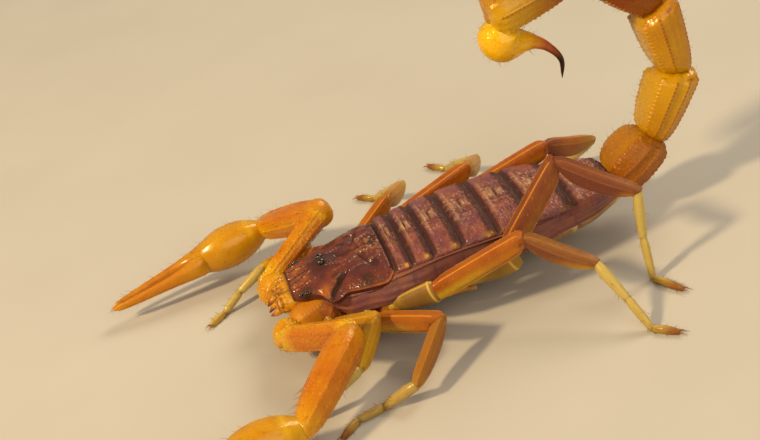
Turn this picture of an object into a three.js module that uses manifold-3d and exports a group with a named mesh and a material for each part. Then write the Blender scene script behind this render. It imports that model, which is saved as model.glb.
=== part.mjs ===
// A golden buthid scorpion at life size, standing on its feet with its tail arched over its back.
// Millimetres, +Z up. The head points to -Y and the animal's left side faces +X.
// While it is being built, the middle of the carapace's rear edge lies over x = 0, y = 0, and the
// feet stand on z = 0. The finished group is then moved so that the middle of its footprint is the origin.
import * as THREE from "three";
import { mergeVertices } from "three/addons/utils/BufferGeometryUtils.js";
import Module from "manifold-3d";

const wasm = await Module();
wasm.setup();

// ---- Driving dimensions -----------------------------------------------------------------------

const GAP = 0.12; // clear gap between neighbouring pieces

// The trunk, as rows of [y, half width, height of the back, of the plates' side edges, of the belly].
// The carapace has a lobe on each side, beside the eyes, and rounded rear corners.
const CARAPACE_ROWS = [
  [-6.7, 1.6, 4.5, 4.3, 3.6],
  [-6.2, 2.1, 4.75, 4.35, 3.5],
  [-5.2, 2.5, 4.97, 4.35, 3.45],
  [-4.75, 2.8, 5.02, 4.25, 3.45],
  [-4.35, 3.72, 5.05, 4.15, 3.45],
  [-3.85, 3.75, 5.1, 4.1, 3.45],
  [-3.3, 3.4, 5.15, 4.15, 3.45],
  [-2.2, 3.75, 5.25, 4.2, 3.5],
  [-1.0, 4.05, 5.35, 4.22, 3.5],
  [-0.45, 4.02, 5.4, 4.25, 3.55],
  [-0.06, 3.6, 5.42, 4.5, 3.7],
];
const CARAPACE_RINGS = CARAPACE_ROWS.map((row) => row[0]);
const TRUNK_ROWS = [
  [0.0, 3.85, 5.35, 4.45, 2.5],
  [4.5, 4.1, 5.6, 4.7, 1.5],
  [9.4, 4.2, 5.45, 4.6, 1.2],
  [12.0, 3.95, 5.2, 4.4, 1.25],
  [14.5, 3.35, 4.85, 4.1, 1.5],
  [16.9, 2.2, 4.35, 3.7, 2.1],
];
const TRUNK_LENGTHS = [1.26, 1.5, 2.05, 2.5, 2.65, 3.0, 3.94]; // tergites 1 to 7
const TRUNK_STEP = 0.12; // how far a tergite's front edge dips below the rear edge before it
const TRUNK_SIDES = 20;
const FLANK_SWELL = 0.08; // how far the soft flank stands out below the plates, over the half width

const EYE_Y = -4.1; // the ocular tubercle and its two median eyes
const TUBERCLE_HEIGHT = 0.4;
const TUBERCLE_RADIUS = 0.75;
const EYE_RADIUS = 0.27;
const EYE_OFFSET = 0.36;

// The tail: joint to joint lengths, and how far each segment points up from straight back.
const TAIL_BASE = [0, 17.1, 3.35];
const TAIL_LENGTHS = [4.0, 5.0, 5.2, 5.9, 7.1];
const TAIL_PITCHES = [32, 58, 99, 132, 190];
const TAIL_WIDTHS = [4.0, 3.75, 3.7, 3.6, 3.4];
const TAIL_DEPTHS = [3.35, 3.15, 3.2, 3.15, 2.9];
const HINGE_OFFSET = 0.55; // the telson hangs from the dorsal side of the last segment's end
const VESICLE = { lengths: [1.5, 2.0], pitches: [285, 338], width: 2.95, depth: 3.05 };
const STING = { length: 3.9, width: 1.0, pitches: [322, 300, 262] };

// Each leg's lengths from the coxa's end: trochanter, femur, patella, tibia, basitarsus, tarsus.
const LEG_LENGTHS = {
  1: [0.9, 3.7, 3.4, 2.5, 1.9, 1.5],
  2: [1.3, 5.2, 4.7, 2.7, 1.8, 1.6],
  3: [3.5, 6.7, 5.0, 2.9, 2.4, 1.8],
  4: [3.6, 6.65, 5.6, 3.2, 2.9, 2.5],
};
const LEG_DEPTHS = { 1: 1.3, 2: 1.32, 3: 1.4, 4: 1.45 }; // of the femur and the patella
const TROCHANTER_DEPTHS = { 1: 1.0, 2: 1.0, 3: 1.12, 4: 1.4 }; // over the femur's
const TROCHANTER_ROOTS = { 1: 1.0, 2: 1.0, 3: 0.62, 4: 0.62 }; // how wide each starts, over a plain tube's
const LEG_FLATNESS = 0.66; // a femur's width over its depth
const FOOT_GIRTH = 0.72; // the tibia's thickness at the knee end
const SOLE_HEIGHT = 0.2; // the tarsus's centre line over the floor
// Where each coxa leaves the sternum and where it ends, for the left side.
const COXAE = {
  1: [[0.8, -3.9, 2.1], [2.9, -5.0, 2.1]],
  2: [[0.9, -2.9, 2.1], [3.6, -2.6, 2.1]],
  3: [[1.0, -1.6, 2.1], [4.0, -0.8, 2.4]],
  4: [[1.0, -0.4, 2.1], [4.2, 4.4, 2.3]],
};
const COXA_GIRTH = 1.5;

// The pose: each segment's heading, in degrees from straight out to the side towards the tail,
// and its rise over the floor. The basitarsus drops to the floor and the tarsus lies on it.
const LEG_POSES = {
  left: {
    1: { headings: [8, 46, -42, -57, -99, -98], rises: [7, 16, -26, -3] },
    2: { headings: [26, 43, -42, -108, -81, -50], rises: [1, 9, -18, -28] },
    3: { headings: [62, 78, 48, 24, 24, 43], rises: [15, 19, -20, -41] },
    4: { headings: [77, 92, 57, -37, -9, 25], rises: [25, 47, -27, -80] },
  },
  right: {
    1: { headings: [32, 1, -90, -98, -108, -131], rises: [21, -2, -1, -26] },
    2: { headings: [42, 52, 26, -31, -28, -47], rises: [13, 14, -16, -27] },
    3: { headings: [58, 80, 22, -25, -17, -37], rises: [5, 13, -21, -21] },
    4: { headings: [75, 97, 58, -30, -70, -95], rises: [14, 17, -24, -41] },
  },
};

// The pedipalps: lengths, girths and pose of the trochanter, femur, patella and chela.
const PALP_COXA = [[1.5, -4.7, 2.3], [2.3, -7.2, 2.25]];
const PALP_LENGTHS = [1.6, 6.5, 7.17, 5.4];
const PALP_FEMUR = { width: 1.62, depth: 1.88 };
const PALP_PATELLA = { width: 2.04, depth: 2.28 };
const HAND = { width: 2.95, depth: 3.1 };
const FINGER = { length: 7.5, width: 0.95, depth: 1.15, spread: 0.3, bow: 0.3, apart: 0.22 };
const PALP_POSES = {
  left: { headings: [-43, 42, -43, -88], rises: [14, 14, -13, -4], femurUp: [0, 0, 1] },
  right: { headings: [-42, 59, -39, -95], rises: [35, 19, -19, -7], femurUp: [0.8, -0.1, 0.6] },
};
const ELBOW_LOBES = { left: 0.5, right: 0.92 }; // how far each patella reaches back over the elbow

const COMB = { length: 3.8, width: 0.7, thickness: 0.5, teeth: 18, toothLength: 0.6 };
const COMB_ROOT = [1.35, 1.9, 0.8];
const COMB_SPLAY = 62; // degrees back from straight out to the side

// ---- Finishes -----------------------------------------------------------------------------------

function finish(color, roughness) {
  return new THREE.MeshStandardMaterial({ color, roughness, metalness: 0 });
}

const FINISHES = {
  darkPlate: finish("#5b2f26", 0.5),
  amberShell: finish("#c67d17", 0.42),
  brownShell: finish("#a5581c", 0.45),
  paleShell: finish("#c4a54c", 0.5),
  goldShell: finish("#e0a41a", 0.35),
  sting: finish("#5a1c0c", 0.3),
  eye: finish("#0c0806", 0.08),
};

// ---- Small tools --------------------------------------------------------------------------------

const UP = new THREE.Vector3(0, 0, 1);

function vector(values) {
  return new THREE.Vector3(...values);
}

function mirrored(point, side) {
  return new THREE.Vector3(side === "left" ? point[0] : -point[0], point[1], point[2]);
}

// The unit vector with a heading from straight out (0) to straight back (90), and a rise over level.
function direction(side, heading, rise) {
  const out = side === "left" ? 1 : -1;
  const turn = THREE.MathUtils.degToRad(heading);
  const lift = THREE.MathUtils.degToRad(rise);
  return new THREE.Vector3(
    out * Math.cos(turn) * Math.cos(lift),
    Math.sin(turn) * Math.cos(lift),
    Math.sin(lift),
  );
}

// The row at a place along sorted rows, on a smooth curve through them.
function rowAt(rows, place) {
  let low = 0;
  while (low < rows.length - 2 && place > rows[low + 1][0]) {
    low += 1;
  }
  const before = rows[Math.max(low - 1, 0)];
  const from = rows[low];
  const to = rows[low + 1];
  const after = rows[Math.min(low + 2, rows.length - 1)];
  const share = (place - from[0]) / (to[0] - from[0]);
  return from.map((value, column) => {
    if (column === 0) {
      return place;
    }
    const slopeFrom = (to[column] - before[column]) / 2;
    const slopeTo = (after[column] - value) / 2;
    const rest = to[column] - value;
    const bend = share * (share - 1);
    return value + share * rest + bend * ((share - 1) * (slopeFrom - rest) + share * (slopeTo - rest));
  });
}

// A closed skin through rings of points, closed at both ends.
// pointAt(ring, angle, reach) gives a point of a ring, with reach 1 on its rim and 0 at its middle.
function loft(rings, sides, pointAt) {
  const unit = new THREE.CylinderGeometry(1, 1, rings - 1, sides, rings - 1);
  unit.deleteAttribute("normal");
  unit.deleteAttribute("uv");
  const skin = mergeVertices(unit, 1e-4);
  const position = skin.getAttribute("position");
  for (let i = 0; i < position.count; i += 1) {
    const ring = Math.round(position.getY(i) + (rings - 1) / 2);
    const reach = Math.hypot(position.getX(i), position.getZ(i));
    const angle = Math.atan2(position.getZ(i), position.getX(i));
    position.setXYZ(i, ...pointAt(ring, angle, reach).toArray());
  }
  skin.computeVertexNormals();
  return skin;
}

// A limb along a path, with rows of [place along the path in segments, width, depth].
// Where the path bends, the limb's section lies in the plane that halves the bend. The points before
// and after the path set such planes for its ends, where the gap to the neighbours is kept.
function limb(path, rows, { before, after, up = UP, sides = 8, boxiness = 2 } = {}) {
  const courses = path.slice(1).map((point, i) => point.clone().sub(path[i]).normalize());
  const first = before ? path[0].clone().sub(before).normalize() : courses[0];
  const last = after ? after.clone().sub(path.at(-1)).normalize() : courses.at(-1);
  const around = [first, ...courses, last];
  const planes = path.map((_, i) => around[i].clone().add(around[i + 1]).normalize());
  const acrosses = [courses[0].clone().cross(up).normalize()];
  for (let i = 1; i < courses.length; i += 1) {
    const turn = new THREE.Quaternion().setFromUnitVectors(courses[i - 1], courses[i]);
    acrosses.push(acrosses[i - 1].clone().applyQuaternion(turn));
  }
  return loft(rows.length, sides, (ring, angle, reach) => {
    const [place, width, depth] = rows[ring];
    const segment = Math.min(Math.floor(place), courses.length - 1);
    const share = place - segment;
    const course = courses[segment];
    const across = acrosses[segment];
    const upward = across.clone().cross(course);
    const roundness = (Math.abs(Math.cos(angle)) ** boxiness + Math.abs(Math.sin(angle)) ** boxiness)
      ** (-1 / boxiness);
    const offset = across.clone().multiplyScalar(reach * roundness * Math.cos(angle) * width / 2);
    offset.addScaledVector(upward, reach * roundness * Math.sin(angle) * depth / 2);
    const reachTo = (plane) => -offset.dot(planes[plane]) / course.dot(planes[plane]);
    const gapAt = (plane) => GAP / 2 / course.dot(planes[plane]);
    const start = reachTo(segment) + (segment === 0 && before ? gapAt(segment) : 0);
    const length = path[segment].distanceTo(path[segment + 1]);
    const isLast = segment === courses.length - 1;
    const end = length + reachTo(segment + 1) - (isLast && after ? gapAt(segment + 1) : 0);
    return path[segment].clone().add(offset).addScaledVector(course, start + (end - start) * share);
  });
}

function scaledRows(rows, width, depth) {
  return rows.map(([place, w, d]) => [place, w * width, d * depth]);
}

function solidOf(geometry) {
  const position = geometry.getAttribute("position");
  return new wasm.Manifold(new wasm.Mesh({
    numProp: 3,
    vertProperties: new Float32Array(position.array),
    triVerts: new Uint32Array(geometry.getIndex().array),
  }));
}

function geometryOf(solid) {
  const mesh = solid.getMesh();
  const geometry = new THREE.BufferGeometry();
  geometry.setAttribute("position", new THREE.BufferAttribute(mesh.vertProperties, 3));
  geometry.setIndex(new THREE.BufferAttribute(mesh.triVerts, 1));
  geometry.computeVertexNormals();
  return geometry;
}

// The same shape with every point moved out by the gap, for cutting a neighbour clear of it.
function grown(geometry) {
  const wider = geometry.clone();
  const position = wider.getAttribute("position");
  const normal = wider.getAttribute("normal");
  for (let i = 0; i < position.count; i += 1) {
    position.setXYZ(
      i,
      position.getX(i) + GAP * normal.getX(i),
      position.getY(i) + GAP * normal.getY(i),
      position.getZ(i) + GAP * normal.getZ(i),
    );
  }
  return wider;
}

// What is left of a shape clear of its neighbours, as the largest single piece.
function clearOf(geometry, neighbours) {
  let solid = solidOf(geometry);
  for (const neighbour of neighbours) {
    solid = solid.subtract(solidOf(grown(neighbour)));
  }
  const pieces = solid.decompose();
  pieces.sort((a, b) => b.volume() - a.volume());
  return geometryOf(pieces[0]);
}

function joined(geometries) {
  return geometryOf(geometries.map(solidOf).reduce((whole, piece) => whole.add(piece)));
}

const scorpion = new THREE.Group();

function addPiece(name, geometry, material) {
  const mesh = new THREE.Mesh(geometry, material);
  mesh.name = name;
  scorpion.add(mesh);
}

// ---- Carapace and eyes ----------------------------------------------------------------------------

// A trunk ring: a low arch over the plates' side edges and a fuller curve below them.
function trunkPoint([y, halfWidth, back, edge, belly], angle, reach, dip = 0, swell = 0) {
  const slope = THREE.MathUtils.radToDeg(Math.asin(Math.sin(angle)));
  const flank = 1 + swell * Math.exp(-(((slope + 24) / 30) ** 2));
  const x = halfWidth * flank * Math.sign(Math.cos(angle)) * Math.abs(Math.cos(angle)) ** 0.8;
  const height = Math.sin(angle);
  const rim = height > 0
    ? edge + (back - dip - edge) * height ** 1.15
    : edge - (edge - belly) * Math.abs(height) ** 0.75;
  const middle = (edge + belly) / 2;
  return new THREE.Vector3(x * reach, y, middle + (rim - middle) * reach);
}

function makeCarapace() {
  const carapace = loft(CARAPACE_RINGS.length, TRUNK_SIDES, (ring, angle, reach) => {
    const y = CARAPACE_RINGS[ring];
    const point = trunkPoint(rowAt(CARAPACE_ROWS, y), angle, reach);
    const away = Math.hypot(point.x, y - EYE_Y) / TUBERCLE_RADIUS;
    point.z += reach === 0 || Math.sin(angle) <= 0 ? 0 : TUBERCLE_HEIGHT * Math.exp(-away * away);
    return point;
  });
  addPiece("carapace", carapace, FINISHES.darkPlate);
  const back = rowAt(CARAPACE_ROWS, EYE_Y)[2];
  for (const [side, out] of [["left", 1], ["right", -1]]) {
    const eye = new THREE.SphereGeometry(EYE_RADIUS, 10, 6);
    eye.deleteAttribute("normal");
    eye.deleteAttribute("uv");
    const ball = mergeVertices(eye, 1e-4);
    ball.translate(out * EYE_OFFSET, EYE_Y, back + TUBERCLE_HEIGHT * 0.75);
    addPiece(`eye_${side}`, clearOf(ball, [carapace]), FINISHES.eye);
  }
  return carapace;
}

// ---- Coxae and sternum ----------------------------------------------------------------------------

// One solid under the carapace: the sternum block with the coxae of the legs and the pedipalps.
function makeCoxae(carapace) {
  const sternum = loft(3, 10, (ring, angle, reach) => new THREE.Vector3(
    1.9 * Math.cos(angle) * reach,
    [-5.6, -2.6, 0.2][ring],
    2.75 + 1.25 * Math.sin(angle) * reach,
  ));
  const shapes = [sternum];
  for (const side of ["left", "right"]) {
    for (const leg of [1, 2, 3, 4]) {
      const path = COXAE[leg].map((point) => mirrored(point, side));
      const after = legPath(side, leg)[1];
      const rows = [[0, 0.7, 0.8], [0.2, 1, 1.15], [0.8, 1.05, 1.2], [1, 0.85, 0.9]];
      shapes.push(limb(path, scaledRows(rows, COXA_GIRTH, COXA_GIRTH), { after }));
    }
    const palp = PALP_COXA.map((point) => mirrored(point, side));
    const rows = [[0, 1, 1], [0.3, 1.25, 1.2], [0.8, 1.2, 1.15], [1, 0.8, 0.9]];
    shapes.push(limb(palp, scaledRows(rows, COXA_GIRTH, COXA_GIRTH)));
  }
  addPiece("coxae", clearOf(joined(shapes), [carapace]), FINISHES.brownShell);
  return shapes;
}

// ---- Mesosoma -------------------------------------------------------------------------------------

// The flank is hollowed where a hind leg lies against it.
function makeTrunk(coxae) {
  const insets = [0, 0.2, 0.55, 1];
  const hindLegs = ["left", "right"].flatMap((side) => [makeFemur(side, 3), makeFemur(side, 4)]);
  let front = 0;
  TRUNK_LENGTHS.forEach((length, i) => {
    const slice = loft(insets.length, TRUNK_SIDES, (ring, angle, reach) => {
      const y = front + GAP / 2 + (length - GAP) * insets[ring];
      return trunkPoint(rowAt(TRUNK_ROWS, y), angle, reach, ring === 0 ? TRUNK_STEP : 0, FLANK_SWELL);
    });
    front += length;
    addPiece(`mesosoma_${i + 1}`, clearOf(slice, [...coxae, ...hindLegs]), FINISHES.darkPlate);
  });
}

// The pair of combs that lies flat under the belly, behind the last coxae.
function makeCombs() {
  const { length, width, thickness, teeth, toothLength } = COMB;
  const pitch = length / teeth;
  const outline = new THREE.Shape();
  outline.moveTo(0, width);
  outline.lineTo(0, 0);
  for (let tooth = 0; tooth < teeth; tooth += 1) {
    outline.lineTo(pitch * (tooth + 0.1), -toothLength);
    outline.lineTo(pitch * (tooth + 0.8), -toothLength);
    outline.lineTo(pitch * (tooth + 0.95), 0);
  }
  outline.lineTo(length, width * 0.6);
  for (const [side, out] of [["left", 1], ["right", -1]]) {
    const comb = new THREE.ExtrudeGeometry(outline, { depth: thickness, bevelEnabled: false });
    comb.deleteAttribute("normal");
    comb.deleteAttribute("uv");
    const piece = mergeVertices(comb, 1e-4);
    piece.scale(1, -1, 1);
    piece.rotateZ(THREE.MathUtils.degToRad(COMB_SPLAY));
    piece.translate(...COMB_ROOT);
    if (out > 0) {
      piece.index.array.reverse();
    } else {
      piece.scale(-1, 1, 1);
    }
    addPiece(`comb_${side}`, piece, FINISHES.paleShell);
  }
}

// ---- Tail -----------------------------------------------------------------------------------------

function pitched(pitch) {
  const angle = THREE.MathUtils.degToRad(pitch);
  return {
    course: new THREE.Vector3(0, Math.cos(angle), Math.sin(angle)),
    dorsal: new THREE.Vector3(0, -Math.sin(angle), Math.cos(angle)),
  };
}

function makeTail() {
  const joints = [vector(TAIL_BASE)];
  TAIL_LENGTHS.forEach((length, i) => {
    joints.push(joints[i].clone().addScaledVector(pitched(TAIL_PITCHES[i]).course, length));
  });
  const base = [[0, 0.6, 0.6], [0.1, 0.82, 0.82], [0.35, 1.02, 1.02], [0.65, 1.03, 1.03],
    [0.9, 0.93, 0.93], [1, 0.76, 0.76]];
  const others = [[0, 0.52, 0.52], [0.06, 0.68, 0.66], [0.2, 0.83, 0.81], [0.45, 0.94, 0.93],
    [0.75, 1, 1], [0.92, 1, 1], [1, 0.86, 0.84]];
  const segments = TAIL_LENGTHS.map((_, i) => limb(
    [joints[i], joints[i + 1]],
    scaledRows(i === 0 ? base : others, TAIL_WIDTHS[i], TAIL_DEPTHS[i]),
    {
      before: i === 0 ? vector(TAIL_BASE).add(new THREE.Vector3(0, -1, 0)) : joints[i - 1],
      after: joints[i + 2],
      up: pitched(TAIL_PITCHES[i]).dorsal,
      sides: 14,
      boxiness: 2.7,
    },
  ));
  segments.forEach((segment, i) => {
    addPiece(`metasoma_${i + 1}`, segment, FINISHES.amberShell);
  });
  const hinge = joints.at(-1).clone().addScaledVector(pitched(TAIL_PITCHES.at(-1)).dorsal, HINGE_OFFSET);
  const bulbPath = [hinge];
  VESICLE.pitches.forEach((pitch, i) => {
    bulbPath.push(bulbPath[i].clone().addScaledVector(pitched(pitch).course, VESICLE.lengths[i]));
  });
  const { dorsal } = pitched(VESICLE.pitches[0]);
  const neck = bulbPath.at(-1);
  const stingPath = [neck];
  STING.pitches.forEach((pitch) => {
    const step = STING.length / STING.pitches.length;
    stingPath.push(stingPath.at(-1).clone().addScaledVector(pitched(pitch).course, step));
  });
  const bulb = [[0, 0.54, 0.54], [0.25, 0.78, 0.78], [0.62, 0.96, 0.96], [0.95, 1, 1],
    [1.25, 0.85, 0.85], [1.5, 0.63, 0.63], [1.75, 0.46, 0.46], [2, 0.36, 0.36]];
  const vesicle = limb(bulbPath, scaledRows(bulb, VESICLE.width, VESICLE.depth), {
    after: stingPath[1],
    up: dorsal,
    sides: 12,
  });
  addPiece("telson_vesicle", clearOf(vesicle, [segments.at(-1)]), FINISHES.goldShell);
  const taper = [[0, 1, 1], [0.3, 0.84, 0.84], [1, 0.6, 0.6], [2, 0.38, 0.38], [2.6, 0.25, 0.25], [3, 0.12, 0.12]];
  const sting = limb(stingPath, scaledRows(taper, STING.width, STING.width), {
    before: bulbPath[1],
    up: dorsal,
  });
  addPiece("sting", sting, FINISHES.sting);
}

// ---- Chelicerae and pedipalps ---------------------------------------------------------------------

function makeChelicerae(carapace, coxae) {
  for (const side of ["left", "right"]) {
    const path = [[0.78, -5.8, 3.5], [0.8, -7.4, 3.5], [0.6, -8.3, 3.1]];
    const rows = [[0, 1, 1.1], [0.5, 1.3, 1.35], [1, 1.15, 1.2], [1.6, 0.8, 0.9], [2, 0.4, 0.45]];
    const jaw = limb(path.map((point) => mirrored(point, side)), rows);
    addPiece(`chelicera_${side}`, clearOf(jaw, [carapace, ...coxae]), FINISHES.amberShell);
  }
}

// The hand is the swollen palm with the fixed finger on its inner side, in one piece.
function makeHand(side, wrist, knuckle, before) {
  const course = knuckle.clone().sub(wrist).normalize();
  const inward = course.clone().cross(UP).normalize().multiplyScalar(side === "left" ? -1 : 1);
  const palmRows = [[0, 0.4, 0.36], [0.12, 0.66, 0.6], [0.35, 0.95, 0.92], [0.6, 1, 1],
    [0.85, 0.86, 0.84], [1, 0.62, 0.58]];
  const palm = limb([wrist, knuckle], scaledRows(palmRows, HAND.width, HAND.depth), {
    before,
    sides: 12,
    boxiness: 2.3,
  });
  const fingerPath = (out) => [-0.1, 0.15, 0.5, 0.8, 1].map((share) => {
    const apart = FINGER.spread * (1 - share) ** 1.2 + FINGER.apart + FINGER.bow * Math.sin(Math.PI * share);
    return knuckle.clone()
      .addScaledVector(course, FINGER.length * share - 0.5)
      .addScaledVector(inward, out * apart);
  });
  const fingerRows = [[0, 1.3, 1.35], [1, 1.15, 1.25], [2, 0.72, 0.78], [3, 0.54, 0.58], [3.8, 0.43, 0.44],
    [4, 0.24, 0.24]];
  const girths = scaledRows(fingerRows, FINGER.width, FINGER.depth);
  const fixed = limb(fingerPath(1), girths);
  const movable = limb(fingerPath(-1), girths);
  const hand = joined([palm, fixed]);
  addPiece(`palp_${side}_hand`, hand, FINISHES.amberShell);
  addPiece(`palp_${side}_finger`, clearOf(movable, [palm, fixed]), FINISHES.amberShell);
}

function makePalp(side, coxae) {
  const { headings, rises, femurUp } = PALP_POSES[side];
  const joints = [mirrored(PALP_COXA[1], side)];
  PALP_LENGTHS.forEach((length, i) => {
    joints.push(joints[i].clone().addScaledVector(direction(side, headings[i], rises[i]), length));
  });
  const [root, shoulder, elbow, wrist, knuckle] = joints;
  const ballRows = [[0, 1.4, 1.4], [0.3, 1.85, 1.95], [0.75, 1.95, 2.05], [1.1, 1.4, 1.5], [1.25, 0.8, 0.9]];
  const trochanter = limb([root, shoulder], ballRows);
  const ball = clearOf(trochanter, coxae);
  addPiece(`palp_${side}_trochanter`, ball, FINISHES.amberShell);
  // The patella's round lobe reaches back over the elbow, and the femur stops clear of it.
  const lobe = elbow.clone().addScaledVector(wrist.clone().sub(elbow).normalize(), -ELBOW_LOBES[side]);
  const patellaRows = [[0, 0.3, 0.3], [0.03, 0.62, 0.62], [0.07, 0.86, 0.86], [0.12, 0.95, 0.95], [0.35, 1, 1],
    [0.66, 0.96, 0.96], [0.89, 0.81, 0.81], [1, 0.6, 0.6]];
  const patella = limb([lobe, wrist], scaledRows(patellaRows, PALP_PATELLA.width, PALP_PATELLA.depth), {
    after: knuckle,
    boxiness: 2.5,
  });
  addPiece(`palp_${side}_patella`, patella, FINISHES.amberShell);
  const femurRows = [[0, 0.62, 0.62], [0.2, 0.83, 0.88], [0.55, 0.9, 0.94], [0.82, 0.99, 1], [1, 0.95, 0.95]];
  const femur = limb([shoulder, elbow], scaledRows(femurRows, PALP_FEMUR.width, PALP_FEMUR.depth), {
    up: vector(femurUp),
    boxiness: 2.8,
  });
  addPiece(`palp_${side}_femur`, clearOf(femur, [trochanter, patella]), FINISHES.amberShell);
  makeHand(side, wrist, knuckle, elbow);
}

// ---- Legs -----------------------------------------------------------------------------------------

// The joints from the coxa's end to the tip of the tarsus. The basitarsus drops to the floor.
function legPath(side, leg) {
  const { headings, rises } = LEG_POSES[side][leg];
  const joints = [mirrored(COXAE[leg][1], side)];
  LEG_LENGTHS[leg].forEach((length, i) => {
    const from = joints[i];
    const drop = THREE.MathUtils.clamp((from.z - SOLE_HEIGHT) / length, -1, 1);
    const rise = i < rises.length ? rises[i] : -THREE.MathUtils.radToDeg(Math.asin(drop));
    joints.push(from.clone().addScaledVector(direction(side, headings[i], rise), length));
  });
  return joints;
}

// Flattens what reaches below the floor into a small sole.
function planted(geometry) {
  const position = geometry.getAttribute("position");
  for (let i = 0; i < position.count; i += 1) {
    position.setZ(i, Math.max(position.getZ(i), 0));
  }
  return geometry;
}

// The trochanter and the femur in one piece.
function makeFemur(side, leg) {
  const [root, hip, knee, ankle] = legPath(side, leg);
  const depth = LEG_DEPTHS[leg];
  const deep = TROCHANTER_DEPTHS[leg];
  const start = TROCHANTER_ROOTS[leg];
  const rows = [[0, 0.8 * start, 0.75 * start], [0.2, start + 0.08, 0.9 * (start + 0.1) * deep],
    [0.5, 1, 0.92 * deep], [0.8, 1.08, deep], [0.94, 1.08, 0.98 * deep], [1.06, 0.9, 0.97],
    [1.4, 1, 1.06], [1.85, 1, 1.02], [1.96, 0.94, 0.92], [2, 0.78, 0.72]];
  return limb([root, hip, knee], scaledRows(rows, depth * LEG_FLATNESS, depth), {
    before: mirrored(COXAE[leg][0], side),
    after: ankle,
    boxiness: 2.8,
  });
}

function makeLeg(side, leg) {
  const [, hip, knee, ankle, heelTop, heel, tip] = legPath(side, leg);
  const depth = LEG_DEPTHS[leg];
  const width = depth * LEG_FLATNESS;
  const name = `leg_${side}_${leg}`;
  addPiece(`${name}_femur`, makeFemur(side, leg), FINISHES.brownShell);
  const patellaRows = [[0, 0.75, 0.6], [0.15, 0.95, 0.95], [0.5, 1, 1], [0.85, 0.9, 0.8], [1, 0.7, 0.55]];
  const patella = limb([knee, ankle], scaledRows(patellaRows, width, depth), {
    before: hip,
    after: heelTop,
    boxiness: 2.5,
  });
  addPiece(`${name}_patella`, patella, FINISHES.brownShell);
  const footRows = [[0, 0.9, 1], [0.3, 1, 1.1], [0.9, 0.85, 0.9], [1.1, 0.8, 0.85], [1.85, 0.7, 0.75],
    [2.1, 0.74, 0.9], [2.5, 0.8, 0.96], [2.85, 0.74, 0.86], [3, 0.45, 0.6]];
  const foot = limb([ankle, heelTop, heel, tip], scaledRows(footRows, FOOT_GIRTH, FOOT_GIRTH), {
    before: knee,
  });
  addPiece(`${name}_foot`, planted(foot), FINISHES.paleShell);
}

// ---- The whole animal -----------------------------------------------------------------------------

const carapace = makeCarapace();
const coxae = makeCoxae(carapace);
makeTrunk(coxae);
makeCombs();
makeTail();
makeChelicerae(carapace, coxae);
for (const side of ["left", "right"]) {
  makePalp(side, coxae);
  for (const leg of [1, 2, 3, 4]) {
    makeLeg(side, leg);
  }
}

// The origin moves to the middle of the footprint, on the floor.
const extent = new THREE.Box3().setFromObject(scorpion, true);
const middle = extent.getCenter(new THREE.Vector3());
scorpion.position.set(-middle.x, -middle.y, -extent.min.z);

export default scorpion;
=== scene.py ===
import bpy
import numpy as np
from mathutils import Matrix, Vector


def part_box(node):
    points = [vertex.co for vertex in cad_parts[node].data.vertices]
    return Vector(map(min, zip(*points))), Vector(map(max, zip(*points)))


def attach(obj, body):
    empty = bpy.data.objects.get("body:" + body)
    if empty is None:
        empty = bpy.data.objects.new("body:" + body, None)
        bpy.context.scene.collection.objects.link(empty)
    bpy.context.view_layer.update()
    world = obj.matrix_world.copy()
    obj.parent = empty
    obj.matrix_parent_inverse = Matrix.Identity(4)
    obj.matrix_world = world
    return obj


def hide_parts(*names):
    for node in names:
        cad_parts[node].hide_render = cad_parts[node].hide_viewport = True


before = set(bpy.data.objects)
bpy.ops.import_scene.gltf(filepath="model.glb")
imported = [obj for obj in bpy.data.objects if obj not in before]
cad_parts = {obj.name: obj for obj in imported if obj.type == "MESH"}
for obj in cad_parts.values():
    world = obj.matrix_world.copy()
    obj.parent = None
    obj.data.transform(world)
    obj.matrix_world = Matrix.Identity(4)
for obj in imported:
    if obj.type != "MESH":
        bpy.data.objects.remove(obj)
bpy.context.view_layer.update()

# ---- Soft skin of the trunk --------------------------------------
# Between the hard plates the trunk is covered by pleural membrane, a tough, unhardened cuticle that
# folds lengthwise so that the belly can swell. It runs as one skin from under the carapace to the tail,
# and stands for the trunk's flesh below the plates.

PLATE_LENGTHS = [1.26, 1.5, 2.05, 2.5, 2.65, 3.0, 3.94]  # of the back's seven plates
PLATE_ENDS = np.cumsum([0.0] + PLATE_LENGTHS)
# Rows of [y, half width, height of the back, of the plates' side edges, of the belly].
TRUNK = [
    [-5.0, 2.4, 4.7, 3.95, 2.4],
    [-3.2, 3.3, 4.95, 3.95, 2.4],
    [-1.2, 3.75, 5.15, 4.1, 2.4],
    [0.2, 3.85, 5.35, 4.45, 2.5],
    [4.5, 4.1, 5.6, 4.7, 1.5],
    [9.4, 4.2, 5.45, 4.6, 1.2],
    [12.0, 3.95, 5.2, 4.4, 1.25],
    [14.5, 3.35, 4.85, 4.1, 1.5],
    [16.9, 2.2, 4.35, 3.7, 2.1],
]
CARAPACE_FRONT = -6.7
FOLD_HEIGHT = 0.5  # of one lengthwise fold of the flank
TRUNK_RINGS, TRUNK_SIDES = 300, 170

box_low, box_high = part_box("carapace")
ORIGIN = np.array([(box_low.x + box_high.x) / 2, box_low.y - CARAPACE_FRONT / 1000, 0.0])


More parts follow.
